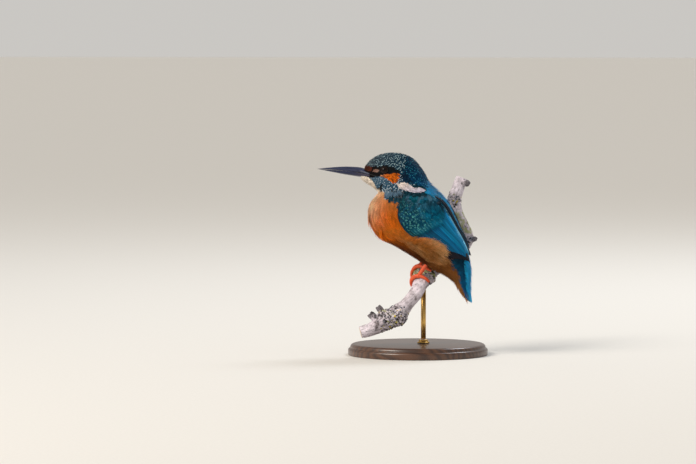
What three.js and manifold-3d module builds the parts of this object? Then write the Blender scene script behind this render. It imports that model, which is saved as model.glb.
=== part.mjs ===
// Common kingfisher, life size: a still display model that grips a short cut branch on a turned stand.
// Millimetres, +Z up. The bird faces -X, so its left side is -Y. The origin is the centre of the stand's
// underside.
import * as THREE from "three";
import { mergeVertices } from "three/addons/utils/BufferGeometryUtils.js";
import Module from "manifold-3d";

const wasm = await Module();
wasm.setup();

// ---------------------------------------------------------------- driving dimensions
const GAP = 0.3; // what touching pieces keep between them
const HEAD_TURN = 8; // degrees that the head is turned to its left
const HEAD_PIVOT_X = -5; // the neck's axis, where the head turns
const VANE = 0.55; // thickness of a feather's vane
const VANE_TILT = 0.28; // a folded feather's lower edge is raised by this and its upper edge lowered
const SLIVER = 0.03; // cuts leave no edge shorter than this

// The plumage's outline in profile, as a belly-side and a back-side point (x, z), and the half width there.
const BODY = [
  { at: "bill base", belly: [-46.4, 140.9], back: [-43.4, 149.9], half: 4.7 },
  { at: "forehead", belly: [-42.6, 137.8], back: [-38.8, 155.6], half: 6.6 },
  { at: "brow", belly: [-38.2, 135.2], back: [-29.8, 160.7], half: 9.2 },
  { at: "crown", belly: [-35.0, 132.8], back: [-17.7, 161.8], half: 11.4 },
  { at: "hind crown", belly: [-33.0, 131.2], back: [-4.9, 157.9], half: 12.7 },
  { at: "nape", belly: [-32.6, 129.6], back: [4.3, 147.4], half: 14.0 },
  { at: "hind neck", belly: [-34.4, 127.4], back: [9.6, 137.8], half: 16.2 },
  { at: "mantle", belly: [-38.9, 121.6], back: [17.6, 130.2], half: 19.4 },
  { at: "breast", belly: [-41.1, 112.8], back: [25.0, 121.0], half: 21.6 },
  { at: "lower breast", belly: [-38.4, 102.4], back: [30.4, 110.6], half: 22.4 },
  { at: "upper belly", belly: [-31.1, 92.8], back: [34.8, 100.2], half: 22.0 },
  { at: "belly", belly: [-18.8, 86.8], back: [38.6, 90.4], half: 20.6 },
  { at: "lower belly", belly: [-5.7, 79.2], back: [41.0, 81.0], half: 18.0 },
  { at: "vent", belly: [9.0, 70.4], back: [42.2, 73.2], half: 14.4 },
  { at: "undertail", belly: [22.1, 63.8], back: [42.8, 66.6], half: 11.2 },
  { at: "tail root", belly: [29.6, 58.2], back: [42.6, 60.4], half: 9.4 },
  { at: "undertail coverts", belly: [34.9, 50.8], back: [42.4, 53.6], half: 7.8 },
  { at: "coverts' tip", belly: [40.0, 44.4], back: [42.2, 46.6], half: 4.4 },
];
const FULLNESS = 0.9; // under 1, the body's sections are a little fuller than ellipses
const BODY_SIDES = 28; // corners round the body
const BODY_STEPS = 33; // rings along it
const NECK_CUT = 5.35; // station where the head ends and the neck begins
const TORSO_CUT = 6.8; // station where the neck ends and the torso begins
const TAIL_CUT = 14.1; // station where the torso ends and the tail begins

const EYE = { x: -26.6, z: 148.2, radius: 3.6, standsOut: 1.25, lid: 0.7 };

// The bill, from its root in the face to the tip: x, the heights of culmen, mouth line and keel, and its
// half width.
const BILL = [
  { x: -38.4, culmen: 147.2, mouth: 144.2, keel: 141.4, half: 5.2 },
  { x: -44.6, culmen: 149.7, mouth: 145.5, keel: 142.2, half: 4.4 },
  { x: -51.0, culmen: 150.4, mouth: 146.4, keel: 143.1, half: 3.8 },
  { x: -58.5, culmen: 150.6, mouth: 147.1, keel: 144.3, half: 3.1 },
  { x: -66.5, culmen: 150.2, mouth: 147.8, keel: 145.8, half: 2.3 },
  { x: -73.5, culmen: 149.6, mouth: 148.3, keel: 147.2, half: 1.4 },
  { x: -80.6, culmen: 148.95, mouth: 148.75, keel: 148.55, half: 0.3 },
];
const GAPE = { x: -32.4, z: 143.4, wide: 0.7 };
const NOSTRIL = { x: -46.6, z: 147.7, long: 3.6, high: 0.8 };

// The folded wing lies on the body. Its lower and upper edges run from the shoulder, s = 0, to the tip,
// s = 1, as body station and angle round the body in degrees, 0 at the belly and 180 on the back.
const WING_LOWER = [
  [7.45, 94], [7.9, 84], [8.5, 78], [9.3, 78], [10.0, 86],
  [10.6, 99], [11.3, 113], [12.2, 129], [13.2, 151],
];
const WING_UPPER = [
  [6.8, 108], [6.65, 130], [6.9, 150], [7.6, 161], [8.4, 166],
  [9.4, 167], [10.4, 164], [11.5, 162], [13.0, 166],
];
const WING_TIP_LIFT = 1.4; // the tips stand this far off the rump
// The pad of flesh and small coverts that the vanes are rooted in: how far out it runs and how deep it is.
const PAD = { to: 0.6, steps: 8, across: 7, deep: 1.7, thin: 0.3 };
// Tiers of wing feathers, lowest first. Each row of feathers goes from the lower edge up: the first and last
// feather's roots and tips as (s, t) on the wing.
const WING_TIERS = [
  { tier: "primaries", count: 5, root: [[0.46, 0.1], [0.5, 0.3]], tip: [[0.86, 0.1], [0.97, 0.6]] },
  { tier: "secondaries", count: 5, root: [[0.36, 0.11], [0.34, 0.62]], tip: [[0.64, 0.09], [0.86, 0.52]] },
  { tier: "tertials", count: 3, root: [[0.3, 0.64], [0.34, 0.86]], tip: [[0.82, 0.62], [0.74, 0.87]] },
  { tier: "greater coverts", count: 5, root: [[0.2, 0.13], [0.18, 0.66]], tip: [[0.49, 0.1], [0.54, 0.62]] },
  { tier: "median coverts", count: 4, root: [[0.06, 0.16], [0.04, 0.66]], tip: [[0.34, 0.12], [0.36, 0.62]] },
  { tier: "scapulars", count: 4, root: [[0.02, 0.78], [0.22, 0.92]], tip: [[0.32, 0.76], [0.6, 0.9]] },
];
// The width of a feather of each tier, and how high its root and its tip lie over the body.
const TIER_WIDTHS = [5.8, 7.0, 6.6, 8.2, 9.6, 8.0];
const TIER_LIFTS = [[0.7, 1.1], [0.9, 1.9], [1.1, 2.5], [1.1, 2.7], [1.4, 3.5], [1.4, 3.5]];

// The tail hangs from the rump as a shallow roof: its ridge, its half width, how far its sides drop, how much
// shorter the outermost feathers are, and the feathers' pairs and width.
const TAIL = { root: [38.6, 0, 78.0], tip: [43.6, 0, 41.4], half: 8.8, drop: 4.4, shorter: 6.5 };
const TAIL_VANES = { pairs: 5, width: 5.2, lift: 0.4, step: 0.12 };
const TAIL_COVERTS = { count: 4, from: 0.1, to: 0.5, width: 6, lift: 1.3 };

// The perch: a centre line through these points, with the radius at each.
const PERCH = [
  [-40.5, -31.0, 19.6, 4.5],
  [-33.6, -29.0, 21.4, 5.2],
  [-26.5, -26.0, 25.2, 6.0],
  [-17.7, -21.5, 30.4, 7.2],
  [-10.2, -18.0, 36.8, 6.2],
  [-5.3, -14.5, 42.6, 5.3],
  [0.4, -9.5, 50.4, 5.3],
  [2.8, -2.0, 57.4, 6.2],
  [3.8, 6.8, 63.0, 7.0],
  [12.0, 19.0, 70.6, 6.0],
  [22.5, 29.5, 79.6, 5.5],
  [31.6, 36.0, 90.0, 6.4],
  [28.6, 38.0, 102.6, 5.4],
  [24.2, 39.0, 113.0, 5.0],
  [21.8, 39.5, 122.0, 5.6],
  [25.1, 40.0, 131.8, 4.9],
  [28.4, 41.0, 140.6, 4.6],
];
const PERCH_SIDES = 14;
const PERCH_RINGS = 40;
// Swellings of the perch: station along it, angle in degrees round it, height, and spread both ways.
const KNOTS = [
  { along: 2.6, angle: -120, high: 3.0, reach: 0.5, spread: 55 },
  { along: 3.5, angle: 30, high: 3.8, reach: 0.55, spread: 55 },
  { along: 7.75, angle: 15, high: 4.2, reach: 0.5, spread: 40 },
  { along: 8.1, angle: -150, high: 1.6, reach: 0.5, spread: 55 },
  { along: 13.9, angle: 5, high: 1.8, reach: 0.3, spread: 40 },
];
// Stubs of broken twigs: station, angle, length, and the radii at root and end.
const STUBS = [
  { along: 2.2, angle: -115, long: 6, root: 3.2, end: 2.6, lean: -0.35 },
  { along: 2.75, angle: -112, long: 6.5, root: 3.0, end: 2.2, lean: -0.1 },
  { along: 11.0, angle: 0, long: 7.5, root: 4.0, end: 1.8, lean: 0.1 },
  { along: 15.6, angle: 10, long: 3.4, root: 2.6, end: 2.2, lean: 0.2 },
];

// The feet: station and angle on the perch where the toes part. Each toe runs on from there by a station and
// an angle.
const FEET = [
  { side: "left", along: 7.0, angle: -70, hip: [11.0, -6.5, 77.0] },
  { side: "right", along: 8.0, angle: -92, hip: [8.0, 6.5, 80.0] },
];
const TOES = [
  { name: "outer", along: -0.2, angle: -124, radius: 1.6 },
  { name: "middle", along: 0.02, angle: -132, radius: 1.7 },
  { name: "inner", along: 0.26, angle: -98, radius: 1.5 },
  { name: "hind", along: -0.06, angle: 74, radius: 1.5 },
];
const TARSUS = 1.5; // radius of the leg's bare part
const CLAW = { long: 4.2, radius: 0.75 };

const BASE = { radius: 56, height: 9, bevel: 2.5 };
const ROD = { radius: 2.0, x: 4.2, y: 1.5, top: 54, collar: 5, collarHeight: 3 };

// ---------------------------------------------------------------- small helpers
const rad = THREE.MathUtils.degToRad;
const vec = (x, y, z) => new THREE.Vector3(x, y, z);
const clamp01 = (x) => Math.min(1, Math.max(0, x));
const smooth = (x) => clamp01(x) ** 2 * (3 - 2 * clamp01(x));

/** A smooth curve through the rows of a table of numbers, read at a fractional row. */
function along(rows, at) {
  const last = rows.length - 1;
  const i = Math.min(Math.floor(Math.max(at, 0)), last - 1);
  const f = at - i;
  return rows[0].map((_, c) => {
    const b = rows[i][c];
    const d = rows[i + 1][c];
    const a = i > 0 ? rows[i - 1][c] : 2 * b - d;
    const e = i < last - 1 ? rows[i + 2][c] : 2 * d - b;
    const bend = (2 * a - 5 * b + 4 * d - e) * f ** 2 + (3 * b - a - 3 * d + e) * f ** 3;
    return 0.5 * (2 * b + (d - a) * f + bend);
  });
}

/** A closed solid from rings of points, each ring the same way round, closed by flat ends. */
function solidOfRings(rings) {
  const n = rings[0].length;
  const points = rings.flat();
  const faces = [];
  for (let r = 0; r < rings.length - 1; r++) {
    for (let i = 0; i < n; i++) {
      const a = r * n + i;
      const b = r * n + ((i + 1) % n);
      faces.push(a, b, b + n, a, b + n, a + n);
    }
  }
  for (const [first, turned] of [[0, true], [(rings.length - 1) * n, false]]) {
    const middle = points.length;
    const ring = points.slice(first, first + n);
    points.push(ring.reduce((sum, p) => sum.add(p), vec(0, 0, 0)).divideScalar(n));
    for (let i = 0; i < n; i++) {
      const a = first + i;
      const b = first + ((i + 1) % n);
      faces.push(...(turned ? [middle, b, a] : [middle, a, b]));
    }
  }
  return solidOf(points, faces);
}

/** A manifold solid from points and triangles, turned to face outwards. */
function solidOf(points, faces) {
  const g = new THREE.BufferGeometry().setFromPoints(points).setIndex(faces);
  const merged = mergeVertices(g, 1e-4);
  const triVerts = new Uint32Array(merged.index.array);
  const vertProperties = merged.attributes.position.array;
  const make = () => new wasm.Manifold(new wasm.Mesh({ numProp: 3, vertProperties, triVerts }));
  const solid = make();
  if (solid.volume() > 0) return solid;
  for (let i = 0; i < triVerts.length; i += 3) {
    [triVerts[i + 1], triVerts[i + 2]] = [triVerts[i + 2], triVerts[i + 1]];
  }
  return make();
}

/** A three.js geometry of ready-made shape as a solid. */
function solidOfGeometry(geometry) {
  const bare = geometry.clone();
  for (const name of ["normal", "uv"]) bare.deleteAttribute(name);
  const merged = mergeVertices(bare, 1e-4);
  const points = [];
  const p = merged.attributes.position;
  for (let i = 0; i < p.count; i++) points.push(vec(p.getX(i), p.getY(i), p.getZ(i)));
  return solidOf(points, [...merged.index.array]);
}

/** The largest closed surface of a solid, without slivers. */
function largest(solid) {
  const main = (whole) => whole.decompose().reduce((a, b) => (a.volume() > b.volume() ? a : b));
  return main(main(solid).simplify(SLIVER));
}

const union = (solids) => solids.reduce((a, b) => a.add(b));

/** The solid mirrored to the other side of the bird. */
const mirrored = (solid) => solid.mirror([0, 1, 0]);

/** A box whose thin side faces along a direction, used as a knife. */
function slab(centre, direction, thickness, size) {
  const box = new THREE.BoxGeometry(size, size, thickness);
  const turn = new THREE.Quaternion().setFromUnitVectors(vec(0, 0, 1), direction.clone().normalize());
  box.applyQuaternion(turn).translate(centre.x, centre.y, centre.z);
  return solidOfGeometry(box);
}

/** A tapered tube along a path of points, with its radius at each. */
function taperedTube(path, radii, sides) {
  const rings = path.map((p, i) => {
    const t = path[Math.min(i + 1, path.length - 1)].clone().sub(path[Math.max(i - 1, 0)]).normalize();
    const across = vec(0.21, 0.17, 1).cross(t).normalize();
    const over = t.clone().cross(across);
    return Array.from({ length: sides }, (_, k) => {
      const a = (2 * Math.PI * k) / sides;
      const [x, y] = [radii[i] * Math.cos(a), radii[i] * Math.sin(a)];
      return p.clone().addScaledVector(across, x).addScaledVector(over, y);
    });
  });
  return solidOfRings(rings);
}

/**
 * A feather's vane: a thin tapered strip along a path of { at, normal, width }. Its first edge is raised by
 * tilt and its second lowered, and both faces are split into triangles alike.
 */
function vane(stations, tilt, thick = VANE) {
  const points = [];
  const faces = [];
  stations.forEach(({ at, normal, width }, i) => {
    const ahead = stations[Math.min(i + 1, stations.length - 1)].at;
    const behind = stations[Math.max(i - 1, 0)].at;
    const across = ahead.clone().sub(behind).cross(normal).normalize();
    const half = (thick / 2) * (i === stations.length - 1 ? 0.6 : 1);
    for (const side of [1, -1]) {
      const edge = at.clone().addScaledVector(across, (side * width) / 2);
      edge.addScaledVector(normal, side * tilt);
      for (const face of [1, -1]) points.push(edge.clone().addScaledVector(normal, face * half));
    }
    if (i === 0) return;
    const [a, b] = [4 * (i - 1), 4 * i];
    faces.push(a, b, b + 2, a, b + 2, a + 2);
    faces.push(a + 1, b + 3, b + 1, a + 1, a + 3, b + 3);
    faces.push(a, b + 1, b, a, a + 1, b + 1);
    faces.push(a + 2, b + 2, b + 3, a + 2, b + 3, a + 3);
  });
  const end = points.length - 4;
  faces.push(0, 2, 3, 0, 3, 1, end, end + 3, end + 2, end, end + 1, end + 3);
  return solidOf(points, faces);
}

// A vane's outline, as shares of its length and of its width, for a long feather and for a short one.
const LONG_VANE = [[0, 0.5], [0.32, 0.85], [0.65, 1], [0.88, 0.8], [1, 0.3]];
const SHORT_VANE = [[0, 0.6], [0.5, 1], [0.84, 0.85], [1, 0.35]];

// ---------------------------------------------------------------- body
const BODY_ROWS = BODY.map((b) => [...b.belly, ...b.back, b.half]);

/** How far the head's turn reaches station k: whole in the head, fading out down the neck. */
const turnAt = (k) => rad(HEAD_TURN) * smooth((6.6 - k) / 2.8);

/** A point in the head's straight frame, turned with the head. */
function turned(p, angle = rad(HEAD_TURN)) {
  const x = p.x - HEAD_PIVOT_X;
  return vec(
    HEAD_PIVOT_X + x * Math.cos(angle) - p.y * Math.sin(angle),
    x * Math.sin(angle) + p.y * Math.cos(angle),
    p.z,
  );
}

/** The plumage at station k and angle theta: 0 is the belly, then round by the left side to pi, the back. */
function onBody(k, theta) {
  const [vx, vz, dx, dz, half] = along(BODY_ROWS, k);
  const c = (1 - Math.cos(theta)) / 2;
  const across = Math.sin(theta);
  const y = -half * Math.sign(across) * Math.abs(across) ** FULLNESS;
  return turned(vec(vx + (dx - vx) * c, y, vz + (dz - vz) * c), turnAt(k));
}

/** The same point lifted off the plumage along its outward normal. */
function offBody(k, theta, lift) {
  const step = 0.02;
  const p = onBody(k, theta);
  const alongBody = onBody(k + step, theta).sub(onBody(k - step, theta));
  const round = onBody(k, theta + step).sub(onBody(k, theta - step));
  return p.addScaledVector(alongBody.cross(round).normalize(), lift);
}

/** The whole plumage as one solid between two stations, swollen by lift. */
function bodySolid(from, to, lift = 0) {
  const rings = [];
  for (let i = 0; i <= BODY_STEPS; i++) {
    const k = from + ((to - from) * i) / BODY_STEPS;
    rings.push(
      Array.from({ length: BODY_SIDES }, (_, j) => {
        const theta = (2 * Math.PI * j) / BODY_SIDES;
        return lift ? offBody(k, theta, lift) : onBody(k, theta);
      }),
    );
  }
  return solidOfRings(rings);
}

/** The knife that parts the body at a station. */
function bodyCut(k) {
  const [vx, vz, dx, dz] = along(BODY_ROWS, k);
  const middle = vec((vx + dx) / 2, 0, (vz + dz) / 2);
  const ahead = middle.clone().add(vec(dz - vz, 0, vx - dx));
  const [from, to] = [middle, ahead].map((p) => turned(p, turnAt(k)));
  return slab(from, to.sub(from), GAP, 130);
}

/** The body parted into head, neck, torso and tail root, from front to back. */
function bodyParts() {
  const cut = [NECK_CUT, TORSO_CUT, TAIL_CUT].reduce(
    (solid, k) => solid.subtract(bodyCut(k)),
    bodySolid(0, BODY.length - 1),
  );
  const parts = cut.decompose().filter((p) => p.volume() > 20);
  const front = (p) => p.boundingBox().max[2];
  return parts.sort((a, b) => front(b) - front(a));
}

// ---------------------------------------------------------------- head and bill
/** The place on one side of the head, as body station and angle, that is level with an x and z. */
function cheek(x, z, side) {
  let best = { gap: Infinity };
  for (let k = 0; k < 6; k += 0.05) {
    const [vx, vz, dx, dz] = along(BODY_ROWS, k);
    for (let theta = 0.1; theta < Math.PI; theta += 0.03) {
      const c = (1 - Math.cos(theta)) / 2;
      const gap = Math.hypot(vx + (dx - vx) * c - x, vz + (dz - vz) * c - z);
      if (gap < best.gap) best = { gap, k, theta };
    }
  }
  return [best.k, -side * best.theta];
}

/** The centre of an eyeball, sunk to stand a little out of the cheek, and the way that it looks. */
function eyeSeat(side) {
  const place = cheek(EYE.x, EYE.z, side);
  const outward = offBody(...place, 1).sub(onBody(...place));
  return { at: onBody(...place).addScaledVector(outward, EYE.standsOut - EYE.radius), outward };
}

function eyeball(side, radius = EYE.radius) {
  const { at } = eyeSeat(side);
  const ball = new THREE.SphereGeometry(radius, 14, 9).rotateX(side * 1.27).rotateY(0.13);
  return solidOfGeometry(ball.translate(at.x, at.y, at.z));
}

/** The ring of lids round an eye. */
function lids(side) {
  const { at, outward } = eyeSeat(side);
  at.addScaledVector(outward, EYE.radius - EYE.standsOut);
  const ring = new THREE.TorusGeometry(EYE.radius - 0.45, EYE.lid, 5, 12);
  ring.applyQuaternion(new THREE.Quaternion().setFromUnitVectors(vec(0, 0, 1), outward));
  return solidOfGeometry(ring.translate(at.x, at.y, at.z));
}

/** The groove that carries the line of the mouth back across a cheek. */
function gapeGroove(side) {
  const from = { x: BILL[1].x + 1.2, z: BILL[1].mouth - 0.2 };
  const path = [0, 0.33, 0.66, 1].map((f) => {
    const place = cheek(from.x + (GAPE.x - from.x) * f, from.z + (GAPE.z - from.z) * f ** 1.4, side);
    return onBody(...place);
  });
  return taperedTube(path, [1, 1, 0.8, 0.4].map((share) => GAPE.wide * share), 5);
}

/** The head, with its lids, hollows for the eyes and the root of the bill, and the line of the mouth. */
function head(plumage) {
  const shaped = plumage.add(union([-1, 1].map(lids)));
  const cuts = [-1, 1].flatMap((side) => [eyeball(side, EYE.radius + GAP), gapeGroove(side)]);
  cuts.push(mandible("culmen", GAP), mandible("keel", GAP));
  return largest(shaped.subtract(union(cuts)));
}

/** One half of the bill: sections from the mouth line up to the culmen, or down to the keel. */
function mandible(edge, swell = 0) {
  const up = edge === "culmen" ? 1 : -1;
  const rings = BILL.map((b, i) => {
    const x = b.x + (i ? 0 : swell);
    const low = b.mouth + up * (GAP / 2 - swell);
    const high = b[edge] + up * swell - low;
    return Array.from({ length: 10 }, (_, j) => {
      const a = Math.PI * (j / 9);
      return turned(vec(x, (b.half + swell) * Math.cos(a), low + high * Math.sin(a) ** 0.8));
    });
  });
  return solidOfRings(rings);
}

function upperBill() {
  const slits = [-1, 1].map((side) => {
    const slit = new THREE.SphereGeometry(1, 8, 6).scale(NOSTRIL.long / 2, 0.8, NOSTRIL.high / 2);
    slit.rotateY(rad(-8));
    const at = turned(vec(NOSTRIL.x, side * (BILL[1].half - 0.75), NOSTRIL.z));
    return solidOfGeometry(slit.translate(at.x, at.y, at.z));
  });
  return mandible("culmen").subtract(union(slits));
}

// ---------------------------------------------------------------- wings
/** A point over the folded left wing: s from shoulder to tip, t from lower to upper edge. */
function onWing(s, t, lift) {
  const last = WING_LOWER.length - 1;
  const lower = along(WING_LOWER, s * last);
  const upper = along(WING_UPPER, s * last);
  const station = lower[0] + (upper[0] - lower[0]) * t;
  const angle = lower[1] + (upper[1] - lower[1]) * t;
  return offBody(station, rad(angle), lift + WING_TIP_LIFT * smooth((s - 0.62) / 0.38));
}

/** The pad that the left wing's vanes are rooted in. */
function wingPad() {
  const rings = [];
  for (let i = 0; i <= PAD.steps; i++) {
    const s = (PAD.to * i) / PAD.steps;
    const edge = Array.from({ length: PAD.across + 1 }, (_, j) => j / PAD.across);
    const swell = smooth((s + 0.1) / 0.16) * (1 - smooth((s - 0.2) / 0.42));
    const deep = PAD.thin + (PAD.deep - PAD.thin) * swell;
    const round = (t) => Math.sin(Math.PI * (0.1 + 0.8 * t)) ** 0.5;
    const top = edge.map((t) => onWing(s, t, GAP + 0.5 + deep * round(t)));
    rings.push([...top, ...edge.reverse().map((t) => onWing(s, t, GAP + 0.12))]);
  }
  return solidOfRings(rings);
}

/** One feather of a tier, on the left wing: its place in the row is a share from 0 to 1. */
function wingFeather(row, share, swell) {
  const mix = ([from, to]) => from.map((v, c) => v + (to[c] - v) * share);
  const [s0, t0] = mix(WING_TIERS[row].root);
  const [s1, t1] = mix(WING_TIERS[row].tip);
  const [rootLift, tipLift] = TIER_LIFTS[row];
  const outline = s1 - s0 > 0.33 ? LONG_VANE : SHORT_VANE;
  const stations = outline.map(([u, wide]) => {
    const s = s0 + (s1 - s0) * u;
    const t = t0 + (t1 - t0) * u;
    const lift = GAP + rootLift + (tipLift - rootLift) * smooth(u * 1.3);
    const at = onWing(s, t, lift);
    const normal = onWing(s, t, lift + 0.5).sub(at).normalize();
    return { at, normal, width: TIER_WIDTHS[row] * wide + 2 * swell };
  });
  return vane(stations, VANE_TILT, VANE + 2 * swell);
}

/** The left wing: its pad and every tier of feathers, fused. */
function wing(swell = 0) {
  const feathers = WING_TIERS.flatMap(({ count }, row) =>
    Array.from({ length: count }, (_, i) => wingFeather(row, i / (count - 1), swell)),
  );
  return union([wingPad(), ...feathers]);
}

// ---------------------------------------------------------------- tail
/** A point of the tail: u is its share of the length, and across its share of the half width. */
function onTail(u, across, lift = 0) {
  const [root, tip] = [vec(...TAIL.root), vec(...TAIL.tip)];
  const short = (TAIL.shorter / root.distanceTo(tip)) * u * across ** 2;
  const ridge = root.lerp(tip, u * (1 - short));
  const half = TAIL.half * (0.5 + 0.5 * smooth(u / 0.8));
  const sag = TAIL.drop * Math.abs(across) ** 1.6;
  return ridge.add(vec(lift - sag, -half * across, 0));
}

/** One feather of the tail, from one share of its length to another. */
function tailFeather(from, to, across, width, lift) {
  const down = onTail(to, across).sub(onTail(from, across));
  const stations = SHORT_VANE.map(([share, wide]) => {
    const u = from + (to - from) * share;
    const beside = onTail(u, across + 0.05, lift).sub(onTail(u, across - 0.05, lift));
    return { at: onTail(u, across, lift), normal: beside.cross(down).normalize(), width: width * wide };
  });
  return vane(stations, 0);
}

/** The tail's feathers: pairs from the outermost up to the central one, with coverts over their roots. */
function tailFeathers() {
  const feathers = [];
  for (let i = TAIL_VANES.pairs - 1; i >= 0; i--) {
    for (const side of [-1, 1]) {
      const across = (side * (i + 0.5)) / (TAIL_VANES.pairs - 0.5);
      feathers.push(tailFeather(0.02, 1, across, TAIL_VANES.width, TAIL_VANES.lift - TAIL_VANES.step * i));
    }
  }
  const { count, from, to, width, lift } = TAIL_COVERTS;
  for (let i = 0; i < count; i++) {
    const across = (2 * i) / (count - 1) - 1;
    const outer = Math.abs(across);
    feathers.push(tailFeather(from, to - 0.08 * outer, 0.6 * across, width, lift * (1 - 0.3 * outer)));
  }
  return union(feathers);
}

// ---------------------------------------------------------------- perch
const PERCH_LEAN = vec(0.7071, -0.7071, 0); // where angle 0 points round the perch

/** Centre, direction and the two cross directions of the perch at a station. */
function perchFrame(at) {
  const step = 0.05;
  const [x, y, z, radius] = along(PERCH, at);
  const ahead = vec(...along(PERCH, Math.min(at + step, PERCH.length - 1)));
  const behind = vec(...along(PERCH, Math.max(at - step, 0)));
  const direction = ahead.sub(behind).normalize();
  const first = PERCH_LEAN.clone().addScaledVector(direction, -PERCH_LEAN.dot(direction)).normalize();
  return { centre: vec(x, y, z), direction, first, second: direction.clone().cross(first), radius };
}

/** A point on the perch's bark, at a station and an angle in radians, lifted off it. */
function onPerch(at, angle, lift = 0) {
  const f = perchFrame(at);
  const wave = 0.035 * Math.sin(3 * angle + 2.1 * at) + 0.03 * Math.sin(2 * angle - 3.3 * at);
  let radius = f.radius * (1 + wave);
  for (const knot of KNOTS) {
    const turn = ((angle - rad(knot.angle) + 5 * Math.PI) % (2 * Math.PI)) - Math.PI;
    const off = (turn / rad(knot.spread)) ** 2 + ((at - knot.along) / knot.reach) ** 2;
    radius += knot.high * Math.exp(-off);
  }
  return f.centre
    .addScaledVector(f.first, (radius + lift) * Math.cos(angle))
    .addScaledVector(f.second, (radius + lift) * Math.sin(angle));
}

function perch(lift = 0) {
  const last = PERCH.length - 1;
  const rings = Array.from({ length: PERCH_RINGS + 1 }, (_, i) => {
    const at = (last * i) / PERCH_RINGS;
    const angles = Array.from({ length: PERCH_SIDES }, (_, j) => (2 * Math.PI * j) / PERCH_SIDES);
    return angles.map((angle) => onPerch(at, angle, lift));
  });
  const stubs = STUBS.map((stub) => {
    const f = perchFrame(stub.along);
    const out = f.first
      .multiplyScalar(Math.cos(rad(stub.angle)))
      .addScaledVector(f.second, Math.sin(rad(stub.angle)))
      .addScaledVector(f.direction, stub.lean)
      .normalize();
    const reach = f.radius + stub.long;
    const path = [0, 0.5, 0.85, 1].map((u) => f.centre.clone().addScaledVector(out, u * reach));
    const radii = [stub.root, (stub.root + stub.end) / 2, stub.end * 1.15, stub.end];
    return taperedTube(path, radii.map((r) => r + lift), 8);
  });
  return largest(union([solidOfRings(rings), ...stubs]));
}

// ---------------------------------------------------------------- legs and feet
/** A toe's path over the bark, from where the toes part to its tip. */
function toePath(foot, toe, steps, from = 0, to = 1) {
  return Array.from({ length: steps + 1 }, (_, i) => {
    const u = from + ((to - from) * i) / steps;
    return onPerch(
      foot.along + toe.along * smooth(u * 1.2),
      rad(foot.angle + toe.angle * u),
      GAP + toe.radius * (1 - 0.28 * u),
    );
  });
}

/** One foot: four toes that part on the perch, each with its claw, all swollen by a little if asked. */
function foot(f, swell = 0) {
  const pieces = TOES.flatMap((toe) => {
    const steps = 5;
    const path = toePath(f, toe, steps);
    const radii = path.map((_, i) => toe.radius * (1 - 0.3 * (i / steps)) + swell);
    const tip = path[steps];
    const ahead = tip.clone().sub(path[steps - 1]).normalize();
    const toBark = perchFrame(f.along + toe.along).centre.sub(tip).normalize();
    const claw = [0, 0.4, 0.75, 1].map((u) =>
      tip.clone().addScaledVector(ahead, CLAW.long * u - 0.6).addScaledVector(toBark, 1.1 * u * u - 0.25),
    );
    const clawRadii = [0.95, 0.75, 0.45, 0.12].map((r) => r * CLAW.radius + swell);
    return [taperedTube(path, radii, 6), taperedTube(claw, clawRadii, 5)];
  });
  const at = heel(f);
  pieces.push(solidOfGeometry(new THREE.SphereGeometry(1.9 + swell, 10, 8).translate(at.x, at.y, at.z)));
  return union(pieces);
}

/** Where a foot's toes and leg come together, just off the bark. */
const heel = (f) => onPerch(f.along, rad(f.angle), GAP + 1.5);

/** The bare leg from the plumage down to where the toes part. */
function leg(f) {
  const hip = vec(...f.hip);
  const path = [0, 0.5, 1].map((u) => heel(f).lerp(hip, u));
  return taperedTube(path, [TARSUS, TARSUS, TARSUS * 1.25], 10);
}

// ---------------------------------------------------------------- stand
function standBase() {
  const { radius, height, bevel } = BASE;
  const shape = [
    [0, 0], [radius - 1, 0], [radius, 1], [radius, height - bevel - 2.2], [radius - 1.4, height - bevel - 1],
    [radius - 1.4, height - bevel], [radius - 2.2, height - 0.9], [radius - 4.2, height], [0, height],
  ];
  return new THREE.LatheGeometry(shape.map(([r, z]) => new THREE.Vector2(r, z)), 44).rotateX(Math.PI / 2);
}

/** A turned collar at the foot of the rod, or the rod itself. */
function upright(radius, bottom, top, sides = 24) {
  const tall = top - bottom;
  return new THREE.CylinderGeometry(radius, radius, tall, sides).rotateX(Math.PI / 2)
    .translate(ROD.x, ROD.y, bottom + tall / 2);
}

// ---------------------------------------------------------------- materials
function paint(color, roughness, metalness = 0) {
  return new THREE.MeshStandardMaterial({ color, roughness, metalness });
}
const MATERIALS = {
  crown: paint(0x0d5a70, 0.5),
  wing: paint(0x0b6f86, 0.5),
  tail: paint(0x1277ad, 0.5),
  breast: paint(0xd0702c, 0.8),
  bill: paint(0x23232b, 0.35),
  eye: paint(0x120d0a, 0.05),
  feet: paint(0xd9482a, 0.55),
  bark: paint(0xa39aa6, 0.9),
  base: paint(0x4a2f20, 0.4),
  brass: paint(0xb58b4a, 0.3, 1),
};

const model = new THREE.Group();

/** Adds a solid, or a geometry, to the model as a named mesh. */
function add(name, shape, material) {
  let geometry = shape;
  if (!shape.isBufferGeometry) {
    const m = shape.getMesh();
    const points = new Float32Array(m.numVert * 3);
    for (let i = 0; i < m.numVert; i++) {
      points.set(m.vertProperties.subarray(i * m.numProp, i * m.numProp + 3), i * 3);
    }
    geometry = new THREE.BufferGeometry().setAttribute("position", new THREE.BufferAttribute(points, 3));
    geometry.setIndex(new THREE.BufferAttribute(new Uint32Array(m.triVerts), 1));
    geometry.computeVertexNormals();
  }
  const mesh = new THREE.Mesh(geometry, material);
  mesh.name = name;
  model.add(mesh);
}

// ---------------------------------------------------------------- assembly
const [headPlumage, neck, torso, tailRoot] = bodyParts();
const bodyRoom = bodySolid(0, BODY.length - 1, GAP);
const perchRoom = perch(GAP);

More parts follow.
